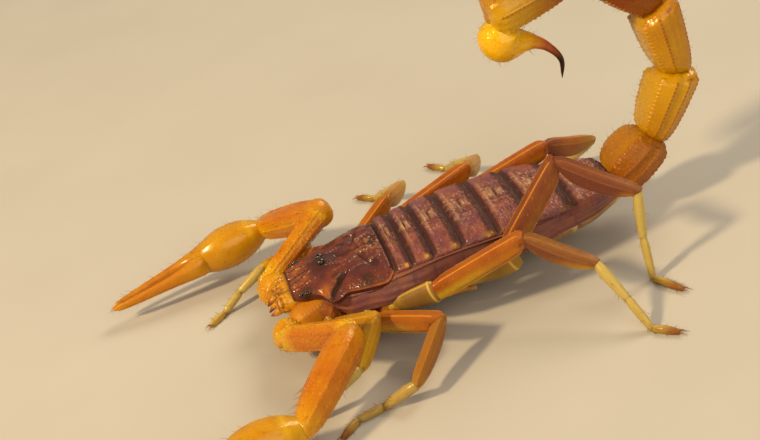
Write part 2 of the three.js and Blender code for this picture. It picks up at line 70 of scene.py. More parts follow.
def curve(rows, place):
    """A smooth curve through sorted rows of [place, values]: on each stretch the cubic that meets its two
    rows with the slope from the row before to the row after."""
    rows = np.asarray(rows, float)
    place = np.asarray(place, float)
    low = np.clip(np.searchsorted(rows[:, 0], place, side="right") - 1, 0, len(rows) - 2)
    start, end = rows[low], rows[low + 1]
    before, after = rows[np.maximum(low - 1, 0)], rows[np.minimum(low + 2, len(rows) - 1)]
    rest = end - start
    span = rest[..., :1]
    share = (place - start[..., 0])[..., None] / span
    slope_start = (end - before) / (end - before)[..., :1] * span
    slope_end = (after - start) / (after - start)[..., :1] * span
    bend = share * (share - 1)
    value = start + share * rest + bend * ((share - 1) * (slope_start - rest) + share * (slope_end - rest))
    return value[..., 1:]


def trunk_at(rows, y, angle):
    """Points of the trunk: x is the half width times sign(cos) |cos|^0.8. Over the plates' side edges the
    height is edge + (back - edge) sin^1.15, and below them edge - (edge - belly) |sin|^0.75."""
    half, back, edge, belly = np.moveaxis(curve(rows, y), -1, 0)
    side, lift = np.cos(angle), np.sin(angle)
    above = edge + (back - edge) * np.abs(lift) ** 1.15
    below = edge - (edge - belly) * np.abs(lift) ** 0.75
    x = half * np.sign(side) * np.abs(side) ** 0.8
    return np.stack(np.broadcast_arrays(x, y, np.where(lift > 0, above, below)), -1)


def turns(sides):
    """Evenly spaced angles of the columns of a grid that runs around."""
    return np.linspace(0, 2 * np.pi, sides, endpoint=False)[None]


def unit(vector):
    """A vector, or each vector of an array, over its own length."""
    vector = np.asarray(vector, float)
    return vector / np.maximum(np.linalg.norm(vector, axis=-1, keepdims=True), 1e-12)


def facing(points, around=True):
    """Outward normals of a grid: its rows' course crossed with its columns' course. The columns of a
    grid that runs around meet themselves."""
    if around:
        columns = np.roll(points, -1, 1) - np.roll(points, 1, 1)
    else:
        columns = np.gradient(points, axis=1)
    return unit(np.cross(np.gradient(points, axis=0), columns))


def relief(points, height):
    """A grid that runs around, with each point moved out along its normal by its height."""
    return points + facing(points) * height[..., None]


def ease(value, start, end):
    """0 before start, 1 after end, and 3 s^2 - 2 s^3 of the share s between them."""
    share = np.clip((value - start) / (end - start), 0, 1)
    return share * share * (3 - 2 * share)


def stretch(value, start, full, fade, end):
    """A mask that eases in from start to full and out again from fade to end."""
    return ease(value, start, full) * (1 - ease(value, fade, end))


def bump(value, middle, spread, power=2):
    """1 at the middle and less on both sides: exp(-(distance / spread)^power)."""
    return np.exp(-((value - middle) / spread) ** power)


def strongest(*masks):
    """The largest of some masks at each point."""
    return np.max(np.broadcast_arrays(*masks), 0)


def skin(points, dusk=0.0, gold=0.0, crest=0.0):
    """A closed skin over a grid whose columns run around: four-sided faces between neighbouring points,
    and a fan from the first and the last row to that row's middle. Each point keeps how much dark
    pigment and painted shade (dusk), pale yellow and painted highlight (gold) and raised grain and
    painted highlight (crest) it shows, from 0 to 1."""
    rows, sides = points.shape[:2]
    i, j = np.indices((rows - 1, sides))
    k = (j + 1) % sides
    low, high = i * sides, (i + 1) * sides
    quads = np.stack([low + j, high + j, high + k, low + k], -1).reshape(-1, 4)
    ring = np.arange(sides)
    beside = (ring + 1) % sides
    pole = np.full(sides, rows * sides)
    last = (rows - 1) * sides
    fans = np.concatenate([np.stack([pole, ring, beside], -1),
                           np.stack([pole + 1, last + beside, last + ring], -1)])
    middles = np.stack([points[0].mean(0), points[-1].mean(0)])
    masks = []
    for mask in (dusk, gold, crest):
        grid = np.clip(np.broadcast_to(mask, (rows, sides)), 0, 1)
        masks.append(np.concatenate([grid.ravel(), [grid[0].mean(), grid[-1].mean()]]))
    return {"points": np.concatenate([points.reshape(-1, 3), middles]), "quads": quads, "fans": fans,
            "masks": masks}


def build(name, skins, material, node=None):
    """One mesh object on the body from one or more skins, moved from millimetres in the frame of the
    build to metres in the frame of the row. It stands for a node, where one is named."""
    starts = np.cumsum([0] + [len(part["points"]) for part in skins])
    corners = np.concatenate([np.concatenate([part["quads"].ravel(), part["fans"].ravel()]) + start
                              for part, start in zip(skins, starts)])
    sizes = np.concatenate([np.repeat([4, 3], [len(part["quads"]), len(part["fans"])]) for part in skins])
    points = np.concatenate([part["points"] for part in skins]) / 1000 + ORIGIN
    mesh = bpy.data.meshes.new(name)
    mesh.vertices.add(len(points))
    mesh.vertices.foreach_set("co", points.astype(np.float32).ravel())
    mesh.loops.add(len(corners))
    mesh.loops.foreach_set("vertex_index", corners.astype(np.int32))
    mesh.polygons.add(len(sizes))
    mesh.polygons.foreach_set("loop_start", (np.cumsum(sizes) - sizes).astype(np.int32))
    mesh.update(calc_edges=True)
    mesh.shade_smooth()
    for i, mask in enumerate(("dusk", "gold", "crest")):
        values = np.concatenate([part["masks"][i] for part in skins])
        mesh.attributes.new(mask, "FLOAT", "POINT").data.foreach_set("value", values.astype(np.float32))
    if "places" in skins[0]:
        places = np.concatenate([part["places"] for part in skins])[corners]
        mesh.uv_layers.new(name="OFBake").data.foreach_set("uv", places.astype(np.float32).ravel())
    mesh.materials.append(material)
    made = bpy.data.objects.new(name, mesh)
    bpy.context.scene.collection.objects.link(made)
    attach(made, "root")
    if node:
        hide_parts(node)


def linear(shade):
    """An sRGB hex colour in linear light: c / 12.92 up to 0.04045, else ((c + 0.055) / 1.055)^2.4."""
    channel = np.array([int(shade[i:i + 2], 16) / 255 for i in (1, 3, 5)])
    light = np.where(channel <= 0.04045, channel / 12.92, ((channel + 0.055) / 1.055) ** 2.4)
    return (*light, 1.0)


def join(tree, node, inputs):
    """Sets a node's inputs. Each is a value, or the output it is joined to."""
    for key, value in dict(inputs).items():
        if isinstance(value, bpy.types.NodeSocket):
            tree.links.new(value, node.inputs[key])
        else:
            node.inputs[key].default_value = value


def add(tree, kind, inputs=(), output=0, **settings):
    """Adds a shader node with its settings and inputs, and gives one of its outputs."""
    made = tree.nodes.new("ShaderNode" + kind)
    for key, value in settings.items():
        setattr(made, key, value)
    join(tree, made, inputs)
    return made.outputs[output]


CLOUD_SIZE = 1.6  # mm over which the two base colours drift
SPECK_SIZE = 0.25
CELL_SIZE = 0.1
DUSK_ROUGHNESS = 0.25  # dark pigment is laid down in matt, dusty cuticle, and the dusk mask's painted shade is made matt as well
DUSK_WAX = -0.8  # and takes this share of the wax away


def cuticle(name, colours, rough=0.3, clear=0.3, gloss=0.4, grain=0.12):
    """Scorpion cuticle. Two base colours drift into each other over about 1.6 mm, under pale yellow,
    dark pigment and the tint of the raised grain, each by its mask with an edge broken by noise. The
    same masks also carry painted shade (dusk) and painted highlights (gold, crest).
    Cells of the outer layer, 0.1 mm wide so that they show, give a fine bump and uneven gloss."""
    base, deep, gold, dusk, crest = (linear(shade) for shade in colours)
    material = bpy.data.materials.new(name)
    material.use_nodes = True
    tree = material.node_tree
    place = add(tree, "TexCoord", output="Object")
    cloud = add(tree, "TexNoise", {"Vector": place, "Scale": 1000 / CLOUD_SIZE, "Detail": 4.0})
    speck = add(tree, "TexNoise", {"Vector": place, "Scale": 1000 / SPECK_SIZE, "Detail": 3.0})
    cells = add(tree, "TexVoronoi", {"Vector": place, "Scale": 1000 / CELL_SIZE}, "Distance")
    drift = add(tree, "MapRange", {0: cloud, 1: 0.36, 2: 0.64})
    tone = add(tree, "Mix", {0: drift, 6: base, 7: deep}, 2, data_type="RGBA")
    for mask, tint, broken in (("gold", gold, cloud), ("dusk", dusk, speck), ("crest", crest, speck)):
        amount = add(tree, "Attribute", output="Fac", attribute_name=mask)
        edge = add(tree, "Math", {0: broken, 1: 0.5, 2: -0.25}, operation="MULTIPLY_ADD")
        swing = add(tree, "Math", {0: amount, 1: edge}, operation="ADD")
        within = add(tree, "Math", {0: swing, 1: amount}, operation="MULTIPLY", use_clamp=True)
        share = add(tree, "Math", {0: within, 1: 0.5}, operation="POWER")
        tone = add(tree, "Mix", {0: share, 6: tone, 7: tint}, 2, data_type="RGBA")
    dark = add(tree, "Attribute", output="Fac", attribute_name="dusk")
    matt = add(tree, "MapRange", {0: speck, 1: 0.3, 2: 0.7, 3: rough - 0.08, 4: rough + 0.12})
    matt = add(tree, "Math", {0: dark, 1: DUSK_ROUGHNESS, 2: matt}, operation="MULTIPLY_ADD")
    wax = add(tree, "Math", {0: dark, 1: DUSK_WAX * gloss, 2: gloss}, operation="MULTIPLY_ADD")
    height = add(tree, "Math", {0: cells, 1: 0.5, 2: speck}, operation="MULTIPLY_ADD")
    join(tree, tree.nodes["Principled BSDF"], {
        "Base Color": tone,
        "Roughness": matt,
        "Coat Weight": wax,
        "Coat Roughness": 0.12,
        "Normal": add(tree, "Bump", {"Height": height, "Strength": grain, "Distance": 0.0001}),
        "IOR": 1.48,
        "Specular Tint": linear("#ffdca8"),
        "Subsurface Weight": clear,
        "Subsurface Radius": (1.0, 0.42, 0.12),
        "Subsurface Scale": 0.0007,
    })
    return material


# Soft cuticle is unhardened and leathery. It gives a dull purple brown with a faint damp sheen. The
# crests of its folds are painted paler orange brown as highlights, and painted shade darkens their troughs.
pleural_membrane = cuticle(
    "pleural_membrane", ("#8a5240", "#704046", "#a8742c", "#4a2628", "#9a6238"), 0.42, 0.25, 0.2, 0.3)

y = np.linspace(-4.9, 16.95, TRUNK_RINGS)[:, None]
angle = turns(TRUNK_SIDES)
trunk = trunk_at(TRUNK, y, angle)
slope = np.degrees(np.arcsin(np.sin(angle)))  # degrees over the side edge, -90 under the belly
flank = bump(slope, -24, 30)
trunk[..., 0] *= 1 + flank * (0.17 - 0.09 * ease(y, 0.5, 4.0) - 0.06 * ease(y, 9.0, 13.0))
# Over the hips the skin hangs lower and stands out further.
over_hips = stretch(y, -4.8, -3.4, 1.5, 5.0) * bump(slope, -48, 22)
trunk[..., 0] *= 1 + 0.26 * over_hips
trunk[..., 2] -= 0.42 * over_hips
# Beside each joint between two plates the skin has a pleat.
pleat = bump(y, PLATE_ENDS, 0.14).sum(-1, keepdims=True) * bump(slope, -10, 15)
wander = 1.4 * np.sin(y * 0.9) + 0.5 * np.sin(y * 2.3 + trunk[..., 2])
folds = np.sin(trunk[..., 2] * 2 * np.pi / FOLD_HEIGHT + wander)
hanging = strongest(flank, over_hips)
inset = 0.34 - 0.2 * (1 - ease(slope, 8, 26)) + 0.04 * pleat  # how far it lies below the plates
trunk = relief(trunk, 0.02 * hanging * folds - inset)
rim = bump(slope, 8, 7) * (0.5 + 0.5 * ease(folds, -0.6, 0.8))
under_shield = 1 - ease(y, -0.4, 2.4)
# Painted shade darkens the troughs of the folds, most under the carapace, and the pleats beside the plate
# joints; the crests of the folds are painted paler as highlights.
dark = strongest((0.12 + 0.15 * under_shield) * hanging * ease(-folds, 0.1, 0.95), 0.25 * pleat,
                 0.2 * (1 - hanging) * (1 - rim))
pale = strongest(0.25 * ease(-np.sin(angle), 0.8, 1.0), 0.22 * rim)
wear_and_highlight = hanging * ease(folds, 0.3, 1) * 0.25 * (1 - pleat)
build("trunk_skin", [skin(trunk, dark, pale, wear_and_highlight)], pleural_membrane)

# ---- Carapace ----------------------------------------------------
# One hard shield of tanned sclerotin covers the head and the front of the body. It is grown in one
# piece, with a straight front edge, furrows, rows of beads (keels) and a low hill for the median eyes.

# Rows of [y, half width, height of the back, of the side edge, of the underside].
CARAPACE = [
    [-6.7, 1.6, 4.5, 4.3, 3.6],
    [-6.2, 2.1, 4.75, 4.35, 3.5],
    [-5.2, 2.5, 4.97, 4.35, 3.45],
    [-4.75, 2.8, 5.02, 4.25, 3.45],
    [-4.35, 3.72, 5.05, 4.15, 3.45],
    [-3.85, 3.75, 5.1, 4.1, 3.45],
    [-3.3, 3.4, 5.15, 4.15, 3.45],
    [-2.2, 3.75, 5.25, 4.2, 3.5],
    [-1.0, 4.05, 5.35, 4.22, 3.5],
    [-0.45, 4.02, 5.4, 4.25, 3.55],
    [0.0, 3.55, 5.42, 4.5, 3.7],
]
EYE_Y = -4.1
TUBERCLE = 0.75  # radius of the hill under the median eyes
CLEFT = [1.9, -2.75, 3.9, -4.6]  # [x, y] where the cleft behind the side lobe starts and ends
KNOB = [2.35, -3.6]  # and the knob beside it, painted amber as a highlight
# Keels on one side: [x, y] where each starts and ends, and its height.
CARAPACE_KEELS = [
    [0.45, -4.9, 0.95, -6.55, 0.13],
    [1.35, -4.8, 1.5, -6.2, 0.09],
    [0.62, -3.9, 1.0, -2.5, 0.13],
    [1.55, -3.7, 1.3, -2.3, 0.11],
    [1.3, -2.3, 0.75, -1.5, 0.1],
    [0.8, -1.5, 1.15, -0.25, 0.14],
    [2.15, -2.6, 1.95, -0.35, 0.11],
]
GRAIN_SIZE, FINE_GRAIN_SIZE = 0.25, 0.14  # of the granules on the plates
PLATE_BEADS = 0.24  # spacing of the beads on the keels of the plates
SHIELD_ROWS, UPPER_COLUMNS, LOWER_COLUMNS = 190, 250, 60  # most columns lie where they show
DOME_RINGS = 5
DOME_TURN = 0.96  # share of a quarter turn that a dome's rings take, before the fan closes it


def chance(a, b, seed):
    """A number from 0 to 1 for each pair of whole numbers: what a large multiple of a sine leaves over."""
    return np.modf(np.abs(np.sin(a * 12.9898 + b * 78.233 + seed * 37.719)) * 43758.5453)[0]


def granules(along, around, share, seed, turn=0):
    """Grains on a shaken lattice. Each cell of side 1 holds a dome 1 - (distance / radius)^2 at a random
    place, of a random radius, in the given share of the cells, and the tallest of the nine nearest
    counts. Round a limb the cells repeat after turn of them."""
    along, around = np.broadcast_arrays(along, around)
    tallest = np.zeros(along.shape)
    for step in np.ndindex(3, 3):
        i, j = np.floor(along) + step[0] - 1, np.floor(around) + step[1] - 1
        key = np.mod(j, turn) if turn else j
        radius = 0.3 + 0.28 * chance(i, key, seed)
        apart = (along - i - 0.25 - 0.5 * chance(i, key, seed + 1)) ** 2
        apart = apart + (around - j - 0.25 - 0.5 * chance(i, key, seed + 2)) ** 2
        dome = (1 - apart / radius ** 2) * (0.5 + 0.5 * chance(i, key, seed + 4))
        tallest = np.maximum(tallest, np.where(chance(i, key, seed + 3) < share, dome, 0))
    return tallest


def scattered(x, y, size, share, seed=1.0):
    """Granules on a flat plate, on a lattice turned 37 degrees so that they don't line up with it."""
    return granules((0.8 * y + 0.6 * x) / size, (0.8 * x - 0.6 * y) / size, share, seed)


def beads(along, pitch, low=0.0):
    """A row of domes on a low ridge: low + (1 - low) (1 - (2 s - 1)^2) of the share s along each pitch."""
    share = np.modf(np.abs(along) / pitch)[0]
    return low + (1 - low) * (1 - (2 * share - 1) ** 2)


def along_line(x, y, x_start, y_start, x_end, y_end):
    """How far points lie along a line, how far beside it, and the length of the line."""
    course = np.array([x_end - x_start, y_end - y_start])
    length = np.linalg.norm(course)
    run = ((x - x_start) * course[0] + (y - y_start) * course[1]) / length
    off = ((x - x_start) * course[1] - (y - y_start) * course[0]) / length
    return run, off, length


def domed(points, bulge):
    """Adds rings that close both ends over a dome: each is the end ring drawn in to its middle by the
    cosine of an angle, and pushed out along the course by the bulge times its sine."""
    turn = (np.linspace(0, np.pi / 2, DOME_RINGS + 1)[1:] * DOME_TURN)[:, None, None]
    ends = []
    for ring, inner in ((points[0], points[1]), (points[-1], points[-2])):
        middle = ring.mean(0)
        push = unit(middle - inner.mean(0)) * bulge
        ends.append(middle + (ring - middle) * np.cos(turn) + push * np.sin(turn))
    return np.concatenate([ends[0][::-1], points, ends[1]])


def edged(values):
    """The values of a grid, carried on over the rings that domed adds."""
    return np.pad(values, ((DOME_RINGS, DOME_RINGS), (0, 0)), "edge")


# Tanned sclerotin is the hardest and darkest cuticle, red brown to purple black and glossy where it is
# wet or rubbed. Its grains are tan and catch the light.
brown_sclerotin = cuticle(
    "brown_sclerotin", ("#723020", "#502327", "#b8661a", "#220e10", "#a67c54"), 0.34, 0.12, 0.4, 0.3)

y = np.linspace(CARAPACE_FRONT, 0.02, SHIELD_ROWS)[:, None]
angle = np.append(np.linspace(0, np.pi, UPPER_COLUMNS, endpoint=False),
                  np.linspace(np.pi, 2 * np.pi, LOWER_COLUMNS, endpoint=False))
shield = trunk_at(CARAPACE, y, angle)
across = shield[..., 0]
x = np.abs(across)
top = ease(np.sin(angle), 0.02, 0.2)
slope = np.degrees(np.arcsin(np.sin(angle)))
hill = bump(x, 0, TUBERCLE) * bump(y, EYE_Y, TUBERCLE)
keel = np.zeros(shield.shape[:2])
for *line, height in CARAPACE_KEELS:
    run, off, length = along_line(x, y, *line)
    row = bump(off, 0, 0.11) * stretch(run, -0.1, 0.1, length - 0.1, length + 0.1)
    keel = np.maximum(keel, row * height * beads(run, PLATE_BEADS, 0.45))
front = 1 - ease(y, -5.6, -4.7)
middle_rear = ease(y, -2.6, -0.8) * bump(x, 0, 1.9)
grain = scattered(across, y, GRAIN_SIZE, 0.6) * (0.3 + 0.7 * np.maximum(middle_rear, 0.8 * front))
fine = scattered(across, y, FINE_GRAIN_SIZE, 0.6, 5.0)
furrow = bump(x, 0, 0.16) * (ease(y, -3.4, -2.9) * 0.16 + (1 - ease(y, -5.2, -4.8)) * 0.12)
furrow = furrow + 0.12 * bump(y - 0.35 * x, -1.95, 0.2) * stretch(x, 0.5, 1.0, 2.2, 2.8)
run, off, length = along_line(x, y, *CLEFT)
cleft = bump(off, 0, 0.18) * ease(run, -0.2, 0.4)
knob = bump(x, KNOB[0], 0.28) * bump(y, KNOB[1], 0.28)
rim = bump(y, CARAPACE_FRONT + 0.1, 0.1) + 0.8 * bump(y, -0.07, 0.08)
side_rim = bump(slope, 7, 5) * ease(y, -6.6, -6.2)
shown = np.maximum(top, side_rim)
raised = (0.08 * grain + 0.02 * fine) * (1 - hill) + keel - furrow - 0.24 * cleft * top + 0.16 * knob * top
raised = raised + 0.08 * rim * beads(x, 0.2, 0.6) + 0.09 * side_rim
shield[..., 2] += 0.4 * hill * (np.sin(angle) > 0)
shield = relief(shield, raised * shown)
wear_and_highlight = scattered(across, y, 0.6, 0.9, 6.0)
stain = scattered(across, y, 1.1, 0.8, 8.0)
corner = bump(x, 2.1, 0.4) * bump(y, -5.7, 0.55)
# Painted shade: the cleft and the furrows are darkened as shaded hollows.
dark = strongest(0.95 * corner, cleft * top, 0.8 * ease(furrow, 0.03, 0.14), 0.8 * hill ** 0.6,
                 0.7 * front * ease(keel, 0.03, 0.1), 0.75 * front * ease(rim, 0.4, 0.9),
                 0.4 * (1 - top) * (1 - side_rim), 0.6 * ease(stain, 0.25, 0.7) * (1 - front) * top)
# Painted highlight: the knob is painted amber.
amber = front * (1 - ease(x, 1.1, 1.8)) * (0.25 + 0.5 * wear_and_highlight) + 0.6 * knob
amber = amber + side_rim * (0.35 * ease(y, -3.9, -3.0) + 0.6 * ease(y, -1.6, -0.8))
amber = amber + 0.75 * bump(x, 2.9, 0.5) * bump(y, -4.6, 0.5)
dust = 0.8 * ease(grain, 0.3, 0.8) + 0.5 * ease(wear_and_highlight, 0.3, 0.8) + 0.6 * ease(keel, 0.04, 0.12)
dust = middle_rear * dust + 0.5 * ease(grain, 0.6, 0.9) * (1 - 0.6 * front)
masks = (dark, amber * shown * (1 - dark), dust * top * (1 - dark))
piece = skin(domed(shield, 0.06), *map(edged, masks))
build("carapace_shield", [piece], brown_sclerotin, "carapace")

# ---- Eyes --------------------------------------------------------
# Two median eyes sit on the hill and three small lateral eyes at each front corner. Each is a clear
# lens of smooth cuticle over black pigment, grown as part of the shield.

MIRRORS = {"left": np.array([1, 1, 1]), "right": np.array([-1, 1, 1])}
EYE_GIRTH = 0.54
EYE_OFFSET = 0.36
EYE_HEIGHT = 5.35
LATERAL_EYES = [[-6.15, 0.26], [-5.86, 0.3], [-5.6, 0.26]]  # y and girth of each
BALL_TIP = 0.12  # turn in radians from a ball's pole to its first ring


def rounds(width, depth, sides, boxiness):
    """The x and y of rings |x / half width|^b + |y / half depth|^b = 1."""
    angle = turns(sides)
    reach = (np.abs(np.cos(angle)) ** boxiness + np.abs(np.sin(angle)) ** boxiness) ** (-1 / boxiness)
    x = width[:, None] / 2 * reach * np.cos(angle)
    y = depth[:, None] / 2 * reach * np.sin(angle)
    return x[..., None], y[..., None]


def tube(path, width, depth, up=(0, 0, 1), sides=48, boxiness=2.0):
    """Rings round the points of a path, each square to it, with x to the right of the course and y
    towards up."""
    course = unit(np.gradient(path, axis=0))
    across = unit(np.cross(course, up))
    upward = np.cross(across, course)
    x, y = rounds(np.broadcast_to(width, len(path)), np.broadcast_to(depth, len(path)), sides, boxiness)
    return path[:, None] + across[:, None] * x + upward[:, None] * y


def ball(centre, course, girth, length, sides=24):
    """An ellipsoid: rings of sin(t) of its girth at -cos(t) of half its length."""
    turn = np.linspace(BALL_TIP, np.pi - BALL_TIP, 14)
    path = centre - course * np.cos(turn)[:, None] * length / 2
    return tube(path, girth * np.sin(turn), girth * np.sin(turn), up=(0.1, 0.2, 1.0), sides=sides)


# The lens is clear and very smooth, so it shows as black with one sharp highlight.
eye_lens = cuticle("eye_lens", ("#0b0706", "#060404", "#201008", "#050303", "#0b0706"), 0.12, 0.0, 1.0, 0.0)

for side, mirror in MIRRORS.items():
    centre = [EYE_OFFSET, EYE_Y, EYE_HEIGHT] * mirror
    lens = ball(centre, unit([1, 0, 0.5] * mirror), EYE_GIRTH, EYE_GIRTH, 40)
    build(f"median_eye_{side}", [skin(lens)], eye_lens, f"eye_{side}")

lenses = []
for mirror in MIRRORS.values():
    for eye_y, size in LATERAL_EYES:
        point = trunk_at(CARAPACE, eye_y, np.radians(16)) + [0.02, 0, 0.04]
        lenses.append(skin(ball(point * mirror, [0, 1, 0], size, size)))
build("lateral_eyes", lenses, eye_lens)

# ---- Tergites and sternites --------------------------------------
# Seven hard plates cover the back and five the belly. Each is a thin sheet of tanned sclerotin that
# slides over the plate behind it: a smooth front strip, and a raised grainy rear with three keels.

PLATE_STRIP = 0.35  # length of the smooth strip that slides under the plate in front
PLATE_LAP = 0.32  # how far each plate but the first reaches under the one in front
TERGITE_THICKNESS, STERNITE_THICKNESS = 0.22, 0.24
TERGITE_ROWS, STERNITE_ROWS = 210, 100  # from one side edge to the other


def plate(y, angle, raised, thickness, *masks):
    """The skin of a thin plate over the trunk: its outer face raised along the normal, and its inner face
    the given thickness below the trunk's surface, joined into one loop in each row. The masks colour
    its outer face."""
    face = trunk_at(TRUNK, y, angle)
    normal = facing(face, around=False)
    inner = face[:, ::-4] - normal[:, ::-4] * thickness
    bare = np.zeros(inner.shape[:2])
    return skin(np.concatenate([face + normal * raised[..., None], inner], 1),
                *(np.concatenate([np.broadcast_to(mask, face.shape[:2]), bare], 1) for mask in masks))


# The back's plates are matt and dusty, a purple brown with paler, worn grains along the middle, and dark
# purple painted shadow on each front strip, on the rear slope and in the grooves.
dusty_sclerotin = cuticle(
    "dusty_sclerotin", ("#8c4a3b", "#6e3842", "#c8922a", "#3c1b20", "#b48c64"), 0.38, 0.12, 0.3, 0.4)

for number in range(1, 8):
    front, rear = PLATE_ENDS[number - 1:number + 1]
    length = rear - front
    share = np.linspace(0, 1, int(30 + 16 * length))[None]
    ends = np.linspace(0, 1, TERGITE_ROWS)[:, None]
    angle = np.radians(185) - np.radians(190) * ends
    from_end = np.minimum(ends, 1 - ends)
    lap = PLATE_LAP if number > 1 else 0.05
    y = front - lap + (length + lap + 0.05 - 0.1 * length * (1 - ease(from_end, 0, 0.13)) ** 2) * share
    across = trunk_at(TRUNK, y, angle)[..., 0]
    x = np.abs(across)
    t = (y - front) / length
    strip = PLATE_STRIP / length  # share of the plate that is the smooth front strip
    bevel = ease(t, strip * 0.5, strip * 1.3)
    band = ease(t, strip, strip * 1.7) * (1 - 0.7 * ease(t, 0.93, 1.0))
    middle = bump(x, 0, 1.7)
    inward = ease(from_end, 0.03, 0.17)
    grain = scattered(across, y, GRAIN_SIZE, 0.75, number)
    fine = scattered(across, y, FINE_GRAIN_SIZE, 0.6, number + 9)
    streak = granules(y / 0.17, across / 0.75 + 0.3 * t, 0.55, number + 40)
    wear_and_highlight = scattered(across, y, 0.55, 0.75, number + 20)
    blotch = ease(scattered(across, y, 0.9, 0.8, number + 30), 0.3, 0.8)
    side_keel = 1.15 + 0.25 * t + 0.05 * number
    block = bump(x, 0, 0.5, 4) * stretch(t, 0.26, 0.33, 0.72, 0.8) * (1 - bump(t, 0.53, 0.04))
    crease = bump(t, 0.53, 0.03) * bump(x, 0, 1.2, 4)
    crest = bump(t, strip * 1.75 + 0.03, 0.035) * bump(x, 0, 2.3, 4) * beads(x + 0.4 * t, 0.3, 0.35)
    keel = 1.5 * block + bump(x, side_keel, 0.16) * ease(t, 0.4, 0.55)
    if number == 7:
        keel = keel * (1 - ease(t, 0.5, 0.7)) + bump(x, 1.15 + 0.1 * t, 0.12) * ease(t, 0.2, 0.4)
        keel = keel + bump(x, 2.35 - 0.6 * t, 0.12) * ease(t, 0.15, 0.35)
    keel = keel * band * beads(y, PLATE_BEADS, 0.55)
    groove = (bump(x, 0.68, 0.12) + 0.8 * bump(x, side_keel - 0.32, 0.12)) * band
    row = bump(t, 0.93, 0.05) * beads(across + 0.1 * number, 0.26, 0.4)
    raised = (0.08 * band - 0.16 * (1 - bevel)) * inward + 0.1 * keel - 0.06 * groove - 0.06 * crease
    raised = raised + 0.03 * row * middle + 0.06 * crest - 0.09 * ease(t, 0.84, 1.05) * inward
    raised = raised + band * (0.09 * grain * (0.35 + 0.65 * middle) + 0.035 * fine + 0.05 * streak)
    raised = raised - 0.1 * (1 - ease(from_end, 0.0, 0.12))
    patch = 1.2 * bump(from_end, 0.13, 0.042) * bump(t, 0.82, 0.14) * (0.5 + 0.5 * ease(wear_and_highlight, 0, 0.5))
    patch = np.clip(patch * (1.0 if number < 6 else 0.4), 0, 1)
    tan = ease(grain, 0.35, 0.85) * (0.12 + 0.45 * middle)
    tan = band * (tan + 0.45 * ease(streak, 0.4, 0.8) * bump(x, 0, 1.9, 4))
    tan = tan + block * (0.35 + 0.5 * ease(wear_and_highlight, 0.1, 0.6)) + 0.8 * crest
    tan = strongest(tan, 0.75 * ease(wear_and_highlight, 0.25, 0.7) * bump(x, 0, 2.2) * (1 - ease(t, 0.4, 0.7)) * bevel)
    tan = tan * (0.1 + 0.9 * inward)
    # Painted shadow: each front strip, shaded by the step of the plate in front, and the rear slope are
    # painted dark, and so are the grooves and the crease in painted shade; the blotches are the plates' own.
    dark = 0.95 * strongest(1 - ease(t, strip, strip * 1.6), ease(t, 0.72, 0.86)) * (0.3 + 0.7 * inward)
    dark = strongest(dark, 0.75 * groove, 0.8 * crease, 0.4 * blotch * band)
    piece = plate(y, angle, raised, TERGITE_THICKNESS,
                  dark * (1 - 0.85 * patch), patch, tan * (1 - 0.6 * dark))
    build(f"tergite_{number}", [piece], dusty_sclerotin, f"mesosoma_{number}")

# The belly's plates are thinner and less tanned, a clear yellow brown with a pale rear edge.
pale_sclerotin = cuticle(
    "pale_sclerotin", ("#b0854a", "#8c5c35", "#cfae6a", "#4a261c", "#c79a5c"), 0.3, 0.3, 0.4, 0.1)

sternites = []
for number in range(3, 8):
    front, rear = PLATE_ENDS[number - 1:number + 1]
    length = rear - front
    share = np.linspace(0, 1, int(16 + 10 * length))[None]
    angle = np.radians(-24) - np.radians(132) * np.linspace(0, 1, STERNITE_ROWS)[:, None]
    y = front - 0.2 + (length + 0.28) * share
    x = np.abs(trunk_at(TRUNK, y, angle)[..., 0])
    t = (y - front) / length
    # A breathing slit on each side of all but the last, which has two keels instead.
    slit = bump(x, 1.9, 0.34) * bump(t - 0.2 * (x - 1.9), 0.5, 0.07) * (number < 7)
    keel = bump(x, 0.7, 0.1) * (number == 7) * beads(y, PLATE_BEADS, 0.4)
    raised = -0.16 * (1 - ease(t, 0.0, 0.16)) - 0.07 * slit + 0.08 * keel
    sternites.append(plate(y, angle, raised, STERNITE_THICKNESS, 0.9 * slit, ease(t, 0.85, 0.97)))
build("sternites", sternites, pale_sclerotin)

# ---- Combs -------------------------------------------------------
# Two combs lie flat under the belly, behind the last hips. Each is a jointed bar of pale cuticle with a
# row of small beads and eighteen soft teeth, which feel the ground.

COMB_ROOT = [1.35, 1.9, 1.05]
COMB_LENGTH = 3.8
COMB_TEETH = 18
COMB_SPLAY = np.radians(62)

along = np.array([np.cos(COMB_SPLAY), np.sin(COMB_SPLAY), 0])
toward_teeth = np.array([-np.sin(COMB_SPLAY), np.cos(COMB_SPLAY), 0])
bar = np.linspace(0, 1, 60)
step = np.linspace(0, 1, 14)
for side, mirror in MIRRORS.items():
    path = COMB_ROOT + along * COMB_LENGTH * bar[:, None] - toward_teeth * 0.33
    width = 0.62 * (1 - 0.45 * bar ** 2) * (1 - 0.08 * (beads(bar, 1 / 3) < 0.1))
    parts = [skin(domed(tube(path * mirror, width, 0.44), 0.12))]
    for tooth in (np.arange(COMB_TEETH) + 0.5) / COMB_TEETH:
        root = COMB_ROOT + along * COMB_LENGTH * tooth
        path = (root + toward_teeth * (0.62 - 0.2 * tooth) * step[:, None]) * mirror
        soft = tube(path, 0.13 + 0.05 * np.sin(step * np.pi), 0.3 - 0.1 * step, sides=16)
        parts.append(skin(domed(soft, 0.05), gold=0.8))
        bead = ball((root - toward_teeth * 0.03) * mirror, along * mirror, 0.2, 0.2, 14)
        parts.append(skin(bead, gold=0.4))
    build(f"pectine_{side}", parts, pale_sclerotin, f"comb_{side}")

# ---- Hips and sternum --------------------------------------------
# The hips (coxae) of the legs and pincers are fixed side by side under the carapace, round a small
# sternum. They are strong boxes of amber brown cuticle with grainy edges, and don't move.

